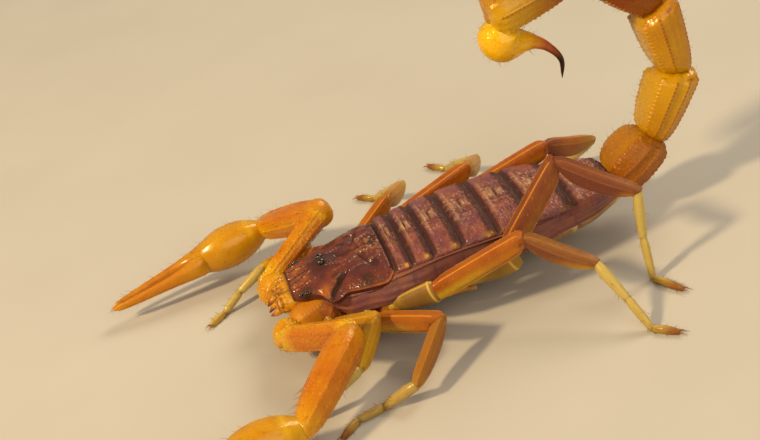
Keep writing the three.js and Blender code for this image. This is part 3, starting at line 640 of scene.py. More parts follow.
# Where each hip leaves the sternum and where it ends, for the left side.
COXAE = {
    1: [[0.8, -3.9, 2.1], [2.9, -5.0, 2.1]],
    2: [[0.9, -2.9, 2.1], [3.6, -2.6, 2.1]],
    3: [[1.0, -1.6, 2.1], [4.0, -0.8, 2.4]],
    4: [[1.0, -0.4, 2.1], [4.2, 4.4, 2.3]],
}
PALP_COXA = [[1.5, -4.7, 2.3], [2.3, -7.2, 2.25]]
HIP_RISE = np.array([0, 0, 0.35])  # how far a hip's middle lies over the joint with its leg
JOINT_GAP = 0.03
# Rows of [y, half width, height of the middle, depth] of the sternum.
STERNUM = [[-5.6, 0.3, 2.75, 0.3], [-4.8, 1.6, 2.75, 2.2], [-2.6, 1.9, 2.75, 2.5], [-0.6, 1.6, 2.75, 2.2],
           [0.2, 0.4, 2.75, 0.4]]


def ridges(angle, places, spread):
    """The sum over some places round a limb, in degrees, of exp(-(angle from it / spread)^2)."""
    apart = (np.degrees(angle)[..., None] - places + 180) % 360 - 180
    return bump(apart, 0, spread).sum(-1)


def limb_grain(along, angle, cells, share, seed):
    """Granules round a limb, with a number of cells in each turn."""
    return granules(along, angle / 2 / np.pi * cells, share, seed, cells)


def segment(start, end, rows, up=(0, 0, 1), before=None, after=None, rings=60, sides=72, boxiness=2.0,
            bulge=0.15):
    """One straight segment from joint to joint, with rows of [share of its length, width, depth]. At a
    joint with a neighbour its rings lie in the plane that halves the bend, less a gap. Both ends close
    over domes. Gives the points, each ring's share of the length and each column's angle, which is 90
    degrees on the up side."""
    course = unit(end - start)
    across = unit(np.cross(course, up))
    upward = np.cross(across, course)
    share = np.linspace(0, 1, rings)
    x, y = rounds(*curve(rows, share).T, sides, boxiness)
    offset = across * x + upward * y
    first = course if before is None else unit(course + unit(start - before))
    last = course if after is None else unit(course + unit(after - end))
    begins = (JOINT_GAP * (before is not None) - offset @ first) / (course @ first)
    ceases = np.linalg.norm(end - start) - (JOINT_GAP * (after is not None) + offset @ last) / (course @ last)
    body = start + offset + course * (begins + (ceases - begins) * share[:, None])[..., None]
    return domed(body, bulge), edged(share[:, None]), turns(sides)


# Amber cuticle is only lightly tanned: clear orange brown, waxy, and light glows a little way into it.
amber_sclerotin = cuticle(
    "amber_sclerotin", ("#c07010", "#aa580a", "#d89c18", "#6e331f", "#b8681e"), 0.38, 0.35, 0.15, 0.14)

hips = []
for mirror in MIRRORS.values():
    for leg, (inner, outer) in COXAE.items():
        rows = [[0, 1.05, 1.8], [0.2, 1.5, 2.4], [0.8, 1.6, 2.4], [1, 1.3, 1.9]]
        points, place, angle = segment(
            inner * mirror + HIP_RISE, outer * mirror + HIP_RISE, rows, boxiness=2.4)
        rib = ridges(angle, [50, 130, -60, -120], 9)
        points = relief(points, 0.05 * rib + 0.03 * limb_grain(place * 14, angle, 24, 0.7, leg))
        upper = ease(np.sin(angle), -0.5, 0.3)
        hips.append(skin(points, 0.15 + 0.75 * upper * (0.7 if leg == 1 else 1),
                         (0.3 * ease(place, 0.8, 1.0) + 0.2) * (1 - upper), 0.5 * ease(rib, 0.4, 1)))
    rows = [[0, 1.9, 2.4], [0.3, 2.2, 2.5], [0.8, 1.9, 2.1], [1, 1.3, 1.4]]
    points, place, angle = segment(
        PALP_COXA[0] * mirror + 1.4 * HIP_RISE, PALP_COXA[1] * mirror + HIP_RISE / 2, rows, boxiness=2.5)
    rib = ridges(angle, [42, 138], 8) * beads(place, 0.09, 0.5)
    points = relief(points, 0.07 * rib)
    hips.append(skin(points, 0.2 * ease(rib, 0.3, 1),
                     0.35 + 0.5 * ease(place, 0.5, 1.0) * np.abs(np.cos(angle + 0.6)),
                     0.3 * ease(np.sin(angle), 0, 0.8)))
y = np.linspace(STERNUM[0][0], STERNUM[-1][0], 60)
half, middle, depth = curve(STERNUM, y).T
block = tube(np.stack([0 * y, y, middle], -1), 2 * half, depth, sides=64)
hips.append(skin(block, 0.3, 0.3))
build("hips_and_sternum", hips, amber_sclerotin, "coxae")

# ---- Bristles and membranes, gathered as the limbs are made ------
# Stiff hairs of clear amber cuticle stand in sockets all over the limbs and tail. Where two segments
# meet, a cuff of soft cuticle closes the joint.

coat = {"tail": [], "pincers": [], "legs": [], "head": []}
cuffs = []
chooser = np.random.default_rng(7)
ROOT_PATCH = 0.003  # width of a hair's patch on the unwrap
UNWRAP_CELLS = 12  # along each side of the unwrap, with one tuft in each
HAIR_CLEARANCE = 0.03  # of every hair over the floor
HAIR_BEND, HAIR_SHAKE = 0.22, 0.16


def bristles(region, points, count, length, girth, lean=0.45):
    """Adds a tuft to a region's coat: hairs on random points of a grid. Each runs along normal (1 - lean)
    + course lean, bends on that way with the square of the distance, and tapers over three three-sided
    rings to a point. On the unwrap each has a patch at its root's place, across for round and up for
    along."""
    rows, sides = points.shape[:2]
    i, j = np.divmod((chooser.random(count) * rows * sides).astype(int), sides)
    course = unit(np.gradient(points, axis=0))[i, j]
    normal = facing(points)[i, j]
    shake = chooser.normal(0, HAIR_SHAKE, (count, 3))
    ahead = unit(normal * (1 - lean) + course * lean + shake)
    reach = (length * chooser.uniform(0.55, 1.15, count))[:, None, None]
    step = np.array([0.0, 0.4, 0.75, 1.0])[None, :, None]
    bent = reach * (ahead[:, None] * step + HAIR_BEND * course[:, None] * step ** 2)
    spine = points[i, j][:, None] - 0.03 * normal[:, None] + bent
    side = unit(np.cross(ahead, [0.31, 0.52, 0.79]))
    other = np.cross(ahead, side)
    turn = (np.arange(3) * 2 * np.pi / 3)[:, None]
    star = side[:, None] * np.cos(turn) + other[:, None] * np.sin(turn)
    rings = spine[:, :3, None] + star[:, None] * (girth / 2 * np.array([1.0, 0.75, 0.45]))[:, None, None]
    verts = np.concatenate([rings.reshape(count, 9, 3), spine[:, 3:4]], 1)
    verts[..., 2] = np.maximum(verts[..., 2], HAIR_CLEARANCE)
    quads = np.array([[0, 1, 4, 3], [1, 2, 5, 4], [2, 0, 3, 5], [3, 4, 7, 6], [4, 5, 8, 7], [5, 3, 6, 8]])
    fans = np.array([[6, 7, 9], [7, 8, 9], [8, 6, 9], [2, 1, 0]])
    base = (np.arange(count) * 10)[:, None, None]
    cell = sum(len(tufts) for tufts in coat.values())
    corner = np.array([cell % UNWRAP_CELLS, cell // UNWRAP_CELLS])
    root = (corner + 0.05 + 0.9 * np.stack([j / sides, i / rows], -1)) / UNWRAP_CELLS
    spread = [[k / 2, r / 3] for r in range(3) for k in range(3)] + [[0.5, 1]]
    coat[region].append({
        "points": verts.reshape(-1, 3), "quads": (quads + base).reshape(-1, 4),
        "fans": (fans + base).reshape(-1, 3), "masks": [np.zeros(count * 10)] * 3,
        "places": (root[:, None] + ROOT_PATCH * np.array(spread)).reshape(-1, 2)})


def cuff(before, joint, after, girth):
    """A soft joint: an ellipsoid a little longer than it is wide, along the mean of the two courses."""
    cuffs.append(skin(ball(joint, unit(unit(joint - before) + unit(after - joint)), girth, girth * 1.3)))


# ---- Chelicerae --------------------------------------------------
# Two small pincers tear the prey in front of the mouth. Each is a swollen hand of amber cuticle netted
# with brown, with a fixed finger and a movable one that have dark teeth.

# Rows of [share, x, y, z, width, depth], for the left side.
CHELA_HAND = [[0, 0.78, -5.9, 3.5, 0.9, 1.0], [0.35, 0.8, -6.8, 3.52, 1.28, 1.35],
              [0.75, 0.78, -7.4, 3.5, 1.25, 1.25], [1, 0.74, -7.75, 3.45, 0.95, 0.95]]
CHELA_FINGERS = [
    [[0, 0.55, -7.5, 3.55, 0.5, 0.5], [0.5, 0.42, -8.0, 3.42, 0.38, 0.4], [1, 0.42, -8.45, 3.1, 0.12, 0.14]],
    [[0, 1.02, -7.5, 3.4, 0.5, 0.55], [0.5, 1.0, -8.0, 3.2, 0.4, 0.42], [1, 0.68, -8.42, 2.95, 0.12, 0.14]],
]

NET_SIZE = 0.3

# The hands are netted: thin brown veins round clear yellow cells about 0.3 mm wide.
netted_cuticle = cuticle(
    "netted_cuticle", ("#d8940e", "#c47a10", "#e6ae1e", "#6e220c", "#e3b860"), 0.28, 0.35, 0.5, 0.1)

share = np.linspace(0, 1, 60)
for side, mirror in MIRRORS.items():
    rows = curve(CHELA_HAND, share)
    hand = domed(tube(rows[:, :3] * mirror, rows[:, 3], rows[:, 4], sides=72, boxiness=2.3), 0.15)
    net = granules(hand[..., 1] / NET_SIZE, hand[..., 2] / NET_SIZE + 3 * hand[..., 0], 1.0, 3)
    parts = [skin(hand, 0.75 * (1 - ease(net, 0.02, 0.25)) * ease(-hand[..., 1], 6.9, 7.5), 0.5)]
    for rows in CHELA_FINGERS:
        rows = curve(rows, share)
        finger = tube(rows[:, :3] * mirror, rows[:, 3], rows[:, 4], sides=32)
        parts.append(skin(domed(finger, 0.05), edged(0.9 * ease(share, 0.45, 0.8)[:, None])))
    build(f"chelicera_pincer_{side}", parts, netted_cuticle, f"chelicera_{side}")
    bristles("head", hand, 60, 0.4, 0.03, 0.7)

# ---- Pincer limbs ------------------------------------------------
# The pedipalps reach forward to catch prey. Each has a short ball joint, two keeled and grainy
# segments, and a smooth swollen hand with two long slim fingers, all of amber cuticle.

SOLE_HEIGHT = 0.2  # of the middle line of a foot that stands on the floor
PALP_LENGTHS = [1.6, 6.5, 7.17, 5.4]
# Headings and rises of the ball, thigh, knee piece and hand, in degrees.
PALP_POSES = {
    "left": ([-43, 42, -43, -88], [14, 14, -13, -4]),
    "right": ([-42, 59, -39, -95], [35, 19, -19, -7]),
}
FEMUR_UP = {"left": (0, 0, 1), "right": (0.8, -0.1, 0.6)}  # where each thigh's upper side faces
BALL_GIRTH = {"left": 1.0, "right": 1.14}
ELBOW_LOBE = {"left": 0.5, "right": 0.92}  # how far each knee piece reaches back over the elbow
ELBOW_GIRTH = {"left": 0.78, "right": 1.0}
INNER_ANGLE = {"left": 180, "right": 0}  # where a ring's inner side is
KEEL_BEADS = 0.27  # spacing of the beads on a keel
TOOTH_PITCH = 0.2
PALP_HAIR = 0.028
HAND_HAIR = 0.025
# Rows of [distance from the wrist, shift to the finger's side, width, depth].
HAND = [
    [0.05, 0, 1.5, 1.5], [0.5, 0, 2.0, 2.05], [1.4, 0, 2.65, 2.75], [2.4, 0, 2.95, 3.1],
    [3.4, 0.02, 2.85, 3.02], [4.4, 0.12, 2.4, 2.6], [5.2, 0.32, 1.8, 2.05], [6.0, 0.52, 1.3, 1.55],
    [7.2, 0.64, 0.86, 1.12], [8.8, 0.6, 0.64, 0.86], [10.8, 0.42, 0.5, 0.66], [12.0, 0.26, 0.4, 0.5],
    [12.35, 0.2, 0.2, 0.24],
]
FINGER = [
    [4.5, 0.32, 0.8, 1.3], [5.2, 0.56, 1.1, 1.6], [6.0, 0.68, 1.0, 1.4], [7.2, 0.68, 0.78, 1.08],
    [8.8, 0.6, 0.6, 0.84], [10.8, 0.44, 0.5, 0.64], [12.0, 0.25, 0.38, 0.5], [12.35, 0.2, 0.18, 0.22],
]

# Palp cuticle glows orange, with yellow where it is thin, and red brown only on the beads.
orange_sclerotin = cuticle(
    "orange_sclerotin", ("#c87c04", "#bc6804", "#d8a206", "#98420a", "#dc9e26"), 0.34, 0.4, 0.2, 0.12)
# The hands are smooth and duller, ochre deepening to orange brown along the fingers.
ochre_sclerotin = cuticle(
    "ochre_sclerotin", ("#cc9208", "#be8006", "#d8a610", "#b8680e", "#d89c3a"), 0.28, 0.4, 0.28, 0.06)


def chain(root, mirror, lengths, headings, rises):
    """A limb's joints. Each segment has a heading in degrees, from straight out (0) to straight back (90),
    and a rise. One without a rise reaches down for the floor."""
    joints = [root * mirror]
    for i, length in enumerate(lengths):
        drop = np.clip((joints[-1][2] - SOLE_HEIGHT) / length, -1, 1)
        rise = np.radians(rises[i] if i < len(rises) else -np.degrees(np.arcsin(drop)))
        heading = np.radians(headings[i])
        course = np.array([np.cos(heading) * np.cos(rise), np.sin(heading) * np.cos(rise), np.sin(rise)])
        joints.append(joints[-1] + course * mirror * length)
    return joints


def prong(wrist, course, shift_way, rows, rings, sides, tooth_angle, first_tooth, rib_height):
    """The hand with its fixed finger, or the movable one: rings round a line from the wrist, shifted
    sideways, with a row of teeth and two ribs. Gives its points and its skin."""
    away = np.linspace(rows[0][0], rows[-1][0], rings)
    shift, width, depth = curve(rows, away).T
    run, angle = away[:, None], turns(sides)
    teeth = ridges(angle, [tooth_angle], 12) * ease(run, first_tooth, first_tooth + 0.5)
    teeth = teeth * beads(run, TOOTH_PITCH, 0.3)
    rib = ridges(angle, [60, 120], 7) * stretch(run, 0.4, 1.2, 3.5, 5)
    points = tube(wrist + course * run + shift_way * shift[:, None], width, depth, sides=sides, boxiness=2.2)
    points = domed(relief(points, 0.05 * teeth + rib_height * rib), 0.12)
    dusk = 0.6 * ease(run, 4.8, 7.5) * (1 - 0.4 * ease(run, 9.5, 12)) + 0.5 * teeth
    gold = 0.9 * bump(run, 0.9, 0.25) * ease(np.sin(angle), -0.3, 0.6) + 0.5 * (1 - ease(run, 0.2, 0.6))
    return points, skin(points, edged(dusk), edged(gold))


for side, mirror in MIRRORS.items():
    joints = chain(PALP_COXA[1], mirror, PALP_LENGTHS, *PALP_POSES[side])
    root, shoulder, elbow, wrist, knuckle = joints

    rows = np.multiply([[0, 1.5, 1.5], [0.3, 1.9, 2.05], [0.75, 1.95, 2.05], [1, 1.45, 1.6]],
                       [1, BALL_GIRTH[side], BALL_GIRTH[side]])
    points, place, angle = segment(root, shoulder, rows, sides=120, bulge=0.4)
    grain = limb_grain(place * 9, angle, 30, 0.75, 2)
    rib = ridges(angle, [60, 150, -30], 9) * beads(place, 0.16, 0.4)
    points = relief(points, 0.09 * grain + 0.05 * rib)
    piece = skin(points, 0.12 * rib, 0.6 * ease(grain, 0.1, 0.8) + 0.45, 0.4 * ease(grain, 0.5, 0.9))
    build(f"palp_ball_{side}", [piece], orange_sclerotin, f"palp_{side}_trochanter")

    rows = [[0, 1.05, 1.2], [0.2, 1.34, 1.66], [0.55, 1.45, 1.76], [0.82, 1.6, 1.86], [0.95, 1.62, 1.86],
            [1, 1.35, 1.55]]
    points, place, angle = segment(shoulder, elbow, rows, FEMUR_UP[side], rings=130, sides=150, boxiness=2.8,
                                   bulge=0.4)
    run = place * PALP_LENGTHS[1]
    grain = limb_grain(run / 0.24, angle, 24, 0.6, 5)
    rib = ridges(angle, [42, 90, 138, -42, -138], 7) * beads(run, KEEL_BEADS, 0.5)
    points = relief(points, 0.035 * grain + 0.09 * rib)
    gold = strongest(1 - ease(place, 0.08, 0.3), 0.8 * ease(place, 0.85, 1)) + 0.35 * ridges(angle, [90], 25)
    piece = skin(points, 0.25 * ease(rib, 0.5, 1.0), gold, 0.5 * ease(grain, 0.4, 0.9))
    build(f"palp_femur_{side}", [piece], orange_sclerotin, f"palp_{side}_femur")
    bristles("pincers", points, 110, 0.7, PALP_HAIR)

    wide = ELBOW_GIRTH[side]
    rows = [[0, 1.92 * wide, 2.12 * wide], [0.1, 1.9, 2.12], [0.3, 2.02, 2.28], [0.62, 1.95, 2.18],
            [0.88, 1.65, 1.85], [1, 1.35, 1.5]]
    points, place, angle = segment(elbow, wrist, rows, after=knuckle, rings=140, sides=170, boxiness=2.5,
                                   bulge=ELBOW_LOBE[side])
    run = place * PALP_LENGTHS[2]
    grain = limb_grain(run / 0.26, angle, 32, 0.5, 8)
    rib = ridges(angle, [42, 75, 138, 180, -42, -138], 6.5) * beads(run, KEEL_BEADS, 0.6)
    rib = rib * stretch(place, 0.02, 0.12, 0.85, 0.98)
    points = relief(points, 0.025 * grain + 0.075 * rib)
    gold = 0.3 * (1 - ease(place, 0.04, 0.14)) + 0.5 * ease(place, 0.7, 1.0)
    gold = gold + 0.4 * ridges(angle, [180 - INNER_ANGLE[side]], 22)
    dusk = 0.08 * ease(rib, 0.5, 1.0) + 0.1 * bump(place, 0, 0.1)
    piece = skin(points, dusk, gold, 0.45 * ease(grain, 0.45, 0.9))
    build(f"palp_patella_{side}", [piece], orange_sclerotin, f"palp_{side}_patella")
    bristles("pincers", points, 130, 0.7, PALP_HAIR)

    # The hand's rings run on into the fixed finger, on the inner side.
    course = unit(knuckle - wrist)
    inward = unit(np.cross(course, [0, 0, 1])) * -mirror[0]
    inner = INNER_ANGLE[side]
    points, piece = prong(wrist, course, inward, HAND, 230, 120, 180 - inner, 6.3, 0.05)
    build(f"palp_hand_{side}", [piece], ochre_sclerotin, f"palp_{side}_hand")
    bristles("pincers", points, 160, 0.55, HAND_HAIR)
    points, piece = prong(wrist, course, -inward, FINGER, 160, 80, inner, 6.0, 0)
    build(f"palp_movable_finger_{side}", [piece], ochre_sclerotin, f"palp_{side}_finger")
    bristles("pincers", points, 70, 0.45, HAND_HAIR)
    for i, girth in enumerate((1.2, 1.25, 1.05)):
        cuff(*joints[i:i + 3], girth)

# ---- Legs --------------------------------------------------------
# Eight walking legs are tubes of thin cuticle, flattened from side to side. The hip ring, thigh and
# knee piece are amber brown with a beaded upper keel, and the shin and the two foot pieces are pale and
# clear, with stiff spines and two claws.

# Lengths from the hip's end: trochanter, femur, patella, tibia, basitarsus, tarsus.
LEG_LENGTHS = {
    1: [0.9, 3.7, 3.4, 2.5, 1.9, 1.5],
    2: [1.3, 5.2, 4.7, 2.7, 1.8, 1.6],
    3: [3.5, 6.7, 5.0, 2.9, 2.4, 1.8],
    4: [3.6, 6.65, 5.6, 3.2, 2.9, 2.5],
}
LEG_DEPTHS = {1: 1.3, 2: 1.32, 3: 1.4, 4: 1.45}
LEG_FLATNESS = 0.66  # width as a share of the depth
TROCHANTER_DEPTHS = {1: 1.0, 2: 1.0, 3: 1.12, 4: 1.5}  # as a share of the leg's
TROCHANTER_SAG = {1: 0.0, 2: 0.0, 3: 0.1, 4: 0.8}  # how far its upper side hangs below a round one's
LEG_BEADS = 0.22
LEG_HAIR = 0.02
# Headings of the six segments and rises of the first four, in degrees. The feet find the floor.
LEG_POSES = {
    "left": {
        1: ([8, 46, -42, -57, -99, -98], [7, 16, -26, -3]),
        2: ([26, 43, -42, -108, -81, -50], [1, 9, -18, -28]),
        3: ([62, 78, 48, 24, 24, 43], [15, 19, -20, -41]),
        4: ([77, 92, 57, -37, -9, 25], [25, 47, -27, -80]),
    },
    "right": {
        1: ([32, 1, -90, -98, -108, -131], [21, -2, -1, -26]),
        2: ([42, 52, 26, -31, -28, -47], [13, 14, -16, -27]),
        3: ([58, 80, 22, -25, -17, -37], [5, 13, -21, -21]),
        4: ([75, 97, 58, -30, -70, -95], [14, 17, -24, -41]),
    },
}
# How dark and how yellow the thigh and the knee piece are all over, from 0 to 1. The hind pair is purple
# brown; the left legs' larger darkness is painted shade.
FEMUR_DUSK = {"left": {1: 0.0, 2: 0.15, 3: 0.05, 4: 0.6}, "right": {1: 0.0, 2: 0.05, 3: 0.05, 4: 0.15}}
FEMUR_GOLD = {1: 0.7, 2: 0.1, 3: 0.0, 4: 0.0}
PATELLA_DUSK = {"left": {1: 0.0, 2: 0.6, 3: 0.95, 4: 1.0}, "right": {1: 0.0, 2: 0.0, 3: 0.2, 4: 0.3}}
PATELLA_GOLD = {1: 0.8, 2: 0.45, 3: 0.65, 4: 0.05}
# Rows of the thigh and knee piece: [share of the length, width, depth], each as a share of the leg's.
LEG_FEMUR = [[0, 0.88, 0.96], [0.12, 0.98, 1.03], [0.4, 1, 1.06], [0.85, 1, 1.02], [0.96, 0.94, 0.92],
             [1, 0.78, 0.72]]
LEG_PATELLA = [[0, 0.7, 0.55], [0.15, 0.95, 0.95], [0.5, 1, 1], [0.85, 0.9, 0.8], [1, 0.7, 0.52]]
# The shin and the two foot pieces: rows in millimetres, number of bristles, how dark and how yellow.
FOOT = [
    ([[0, 0.6, 0.66], [0.25, 0.74, 0.8], [0.85, 0.6, 0.64], [1, 0.5, 0.52]], 24, 0.05, 0.75),
    ([[0, 0.46, 0.48], [0.2, 0.58, 0.62], [0.85, 0.5, 0.54], [1, 0.42, 0.44]], 24, 0.05, 0.55),
    ([[0, 0.38, 0.42], [0.25, 0.52, 0.62], [0.7, 0.5, 0.56], [1, 0.34, 0.36]], 32, 0.95, 0.1),
]

# Leg cuticle is thin: orange brown where it is thick, purple brown on the hind pair, and darker on the left
# legs by painted shade.
leg_sclerotin = cuticle(
    "leg_sclerotin", ("#b66606", "#a44f06", "#c09614", "#69352a", "#d88a1c"), 0.36, 0.3, 0.18, 0.16)
# The hip rings are so thin that the dull flesh shows through, olive yellow with a bright rim at the end, and
# painted highlights along the upper and lower edges.
olive_cuticle = cuticle(
    "olive_cuticle", ("#8c6a2a", "#7c5a2a", "#ac8428", "#5c3a24", "#dcb450"), 0.42, 0.35, 0.08, 0.12)
# Shins and feet are hardly tanned, a clear straw yellow.
straw_cuticle = cuticle(
    "straw_cuticle", ("#b2923a", "#a07e2a", "#c4b062", "#804a1c", "#b99c4a"), 0.32, 0.4, 0.22, 0.1)


def leg_keels(place, angle, length, places):
    """Beaded keels along a leg's segment, which fade out before both its ends."""
    keel = ridges(angle, places, 6) * beads(place * length, LEG_BEADS, 0.6)
    return keel * stretch(place, 0.02, 0.1, 0.93, 1)


for side, mirror in MIRRORS.items():
    for leg, lengths in LEG_LENGTHS.items():
        inner, outer = COXAE[leg]
        joints = [inner * mirror, *chain(outer, mirror, lengths, *LEG_POSES[side][leg])]
        coxa, root, hip, knee, ankle, heel_top, heel, tip = joints
        depth = LEG_DEPTHS[leg]
        width = depth * LEG_FLATNESS
        size = [1, width, depth]
        name = f"{side}_{leg}"

        deep = TROCHANTER_DEPTHS[leg]
        flare = 1 if leg < 3 else 0.62
        rows = [[0, flare * 0.8, flare * 0.75], [0.2, flare + 0.08, (flare + 0.1) * 0.9 * deep],
                [0.5, 1, 0.92 * deep], [0.8, 1.08, deep], [0.94, 1.08, deep], [1, 0.95, 0.94 * deep]]
        points, place, angle = segment(root, hip, np.multiply(rows, size), before=coxa, after=knee,
                                       boxiness=2.1, bulge=0.5 if leg == 4 else 0.08)
        lift = np.sin(angle)
        points[..., 2] -= TROCHANTER_SAG[leg] * np.sin(np.pi * place) * ease(lift, -0.6, 0.8)
        points[..., 2] -= 0.5 * (leg == 4) * ease(place, 0.2, 0.9) * ease(-lift, -0.2, 0.8)
        wrinkle = np.sin(place * 30 + 2 * np.sin(2 * angle)) * (1 - ease(place, 0.1, 0.5))
        lip = bump(place, 0.93, 0.02)
        # The upper and lower edges are raised, and painted bright as highlights of light shining through.
        edge_ridge_and_highlight = ridges(angle, [80, 100, -80, -100], 7)
        grain = limb_grain(place * 8, angle, 20, 0.5, leg) * (1 - ease(place, 0.1, 0.3))
        points = relief(points, 0.04 * ridges(angle, [90], 14) + 0.025 * wrinkle + 0.03 * lip
                        + 0.04 * edge_ridge_and_highlight + 0.02 * grain)
        dusk = strongest(0.25 * ease(wrinkle, 0, 1), 0.35 * (leg == 4) * ease(lift, -0.5, 0.5),
                         0.3 * stretch(place, 0.15, 0.5, 0.7, 0.9))
        gold = 0.15 + 0.4 * (1 - ease(place, 0.1, 0.5)) + 0.4 * (leg == 4)
        piece = skin(points, dusk, gold, strongest(lip, 0.7 * edge_ridge_and_highlight))
        build(f"leg_trochanter_{name}", [piece], olive_cuticle)

        femur, place, angle = segment(hip, knee, np.multiply(LEG_FEMUR, size), before=root, after=ankle,
                                      rings=96, sides=88, boxiness=3.2)
        rib = leg_keels(place, angle, lengths[1], [57, 123, -57, -123])
        grain = limb_grain(place * lengths[1] / 0.2, angle, 22, 0.5, leg + 3)
        femur = relief(femur, 0.055 * rib + 0.022 * grain)
        upper = ease(np.sin(angle), -0.35, 0.45)
        tone_and_shade = FEMUR_DUSK[side][leg]
        dusk = strongest(tone_and_shade * (1 - 0.9 * ridges(angle, [-57, -123], 6)) + 0.12 * upper,
                         0.5 * ridges(angle, [-38, -142], 6) * ease(place, 0.05, 0.3),
                         0.95 * bump(place, 0.97, 0.025) * ridges(angle, [0, 180], 16))
        gold = 0.9 * (1 - upper) * (1 - 0.8 * ease(place, 0.3, 0.8)) * (1 - tone_and_shade)
        crest = strongest(0.8 * ease(rib, 0.3, 0.8), 0.35 * ease(grain, 0.5, 0.9))
        piece = skin(femur, dusk, strongest(gold, FEMUR_GOLD[leg]), crest)
        build(f"leg_femur_{name}", [piece], leg_sclerotin, f"leg_{name}_femur")

        patella, place, angle = segment(knee, ankle, np.multiply(LEG_PATELLA, size), before=hip,
                                        after=heel_top, rings=80, sides=88, boxiness=2.8)
        lift = np.sin(angle)
        rib = leg_keels(place, angle, lengths[2], [60, 120, 20, 160, -60, -120])
        patella[..., 2] -= 0.14 * depth * np.sin(np.pi * place)
        patella = relief(patella, 0.045 * rib)
        knob = bump(place, 0.02, 0.025) * ridges(angle, [0, 180], 16)
        knob = knob + bump(place, 0.98, 0.02) * ridges(angle, [10, 170], 14)
        tone_and_shade = PATELLA_DUSK[side][leg]
        clear_end = ease(place, 0.3 if leg == 3 else 0.75, 0.95) * ease(0.3 - lift, -0.2, 0.9)
        dusk = strongest(tone_and_shade * (0.75 + 0.25 * ridges(angle, [0, 180], 42)) * (1 - 0.8 * clear_end),
                         (0.8 if name == "right_4" else 0.3) * (1 - ease(place, 0.1, 0.6)), 0.95 * knob)
        gold = strongest(0.95 * ease(place, 0.45, 0.95) * (1 - 0.6 * tone_and_shade), PATELLA_GOLD[leg],
                         0.9 * ease(place, 0.2, 0.7) * ease(-lift, 0.1, 0.8) * (1 - tone_and_shade))
        piece = skin(patella, dusk, gold, 0.3 * ease(rib, 0.3, 0.9) * (1 - 0.4 * tone_and_shade))
        build(f"leg_patella_{name}", [piece], leg_sclerotin, f"leg_{name}_patella")

        parts = []
        for i, (rows, hairs, dark, pale) in enumerate(FOOT):
            after = joints[6 + i] if i < 2 else None
            before, start, end = joints[3 + i:6 + i]
            points, place, angle = segment(start, end, rows, before=before, after=after, rings=38, sides=32,
                                           bulge=0.08)
            points[..., 2] = np.maximum(points[..., 2], 0)
            joint = bump(place, 0.02, 0.03) + bump(place, 0.98, 0.03)
            # Painted shade: the left second leg's foot pieces are darkened.
            dusk = strongest(dark * (leg > 1) * ease(place, 0.1, 0.9), 0.35 * (name == "left_2"))
            parts.append(skin(points, dusk + 0.5 * joint * ridges(angle, [0, 180], 30),
                              strongest(pale, 0.8 * ridges(angle, [90], 30))))
            bristles("legs", points, hairs, 0.36, 0.036, 0.35)
        course = unit((tip - heel) * [1, 1, 0])
        bend = np.linspace(0, 1, 16)[:, None]
        taper = 1.05 - bend[:, 0]
        for out in (1, -1):
            aside = np.cross(course, [0, 0, 1]) * out
            claw = tip + course * (0.6 * bend - 0.06) + aside * (0.08 + 0.16 * bend)
            claw = claw + [0, 0, 1] * (0.12 * np.sin(bend * np.pi) - 0.1 * bend)
            claw[:, 2] = np.maximum(claw[:, 2], 0.06)
            parts.append(skin(tube(claw, 0.13 * taper, 0.15 * taper, sides=10), 1.0))
            spur = heel + unit(course * 0.6 + aside * 0.6 - [0, 0, 0.5]) * (0.1 + 0.5 * bend)
            spur[:, 2] = np.maximum(spur[:, 2], 0.05)
            parts.append(skin(tube(spur, 0.1 * taper, 0.1 * taper, sides=8), 0.7))
        build(f"leg_foot_{name}", parts, straw_cuticle, f"leg_{name}_foot")
        bristles("legs", femur, 40, 0.32, LEG_HAIR)
        bristles("legs", patella, 36, 0.32, LEG_HAIR)
        for i, girth in enumerate((0.75 * width, 0.7 * width, 0.6 * width, 0.42, 0.36, 0.3)):
            cuff(*joints[i:i + 3], girth)

# ---- Tail --------------------------------------------------------
# Five hollow boxes of thick golden cuticle, curled over the back. Each has eight to ten lengthwise keels
# of dark beads with flat or slightly hollow faces between them, and a trough along the back. They turn
# on each other only up and down.

TAIL_BASE = np.array([0.0, 17.1, 3.35])
# Of each segment: length, rise from straight back in degrees, width, depth.
TAIL = [[4.0, 32, 4.0, 3.35], [5.0, 58, 3.75, 3.15], [5.2, 99, 3.7, 3.2], [5.9, 132, 3.6, 3.15],
        [7.1, 190, 3.4, 2.9]]
# Rows of [share of the length, width, depth], as shares of the segment's. The first is barrel-shaped.
TAIL_ROWS = [[0, 0.5, 0.5], [0.06, 0.66, 0.64], [0.2, 0.82, 0.8], [0.45, 0.94, 0.93], [0.75, 1, 1],
             [0.92, 1, 1], [1, 0.86, 0.84]]
FIRST_TAIL_ROWS = [[0, 0.6, 0.6], [0.1, 0.82, 0.82], [0.35, 1.02, 1.02], [0.65, 1.03, 1.03],
                   [0.9, 0.93, 0.93], [1, 0.76, 0.76]]
# Keels of each segment, in degrees from the middle of its back, the same on both sides.
TAIL_KEELS = [[40, 74, 102, 136, 164], [40, 74, 106, 137, 165], [40, 76, 137, 165], [40, 76, 137, 165],
              [44, 94, 140, 180]]
# Each segment's own colour: how dark at its start and end, and how yellow at its start and end.
TAIL_TONES = [(0.68, 0.6, 0.15, 0.22), (0.15, 0.0, 0.4, 0.7), (0.05, 0.1, 0.5, 0.35), (0.75, 0.95, 0.0, 0.0),
              (1.0, 0.0, 0.0, 0.95)]
CROWN_BEADS = 0.36  # spacing of the tall beads on the two upper keels
TAIL_HAIR = 0.02

# Tail cuticle is thick and clear, deep gold, with a red brown stain along the keels and at the joints.
golden_sclerotin = cuticle(
    "golden_sclerotin", ("#c08003", "#ae6803", "#cc9c06", "#803006", "#daa236"), 0.28, 0.4, 0.32, 0.12)


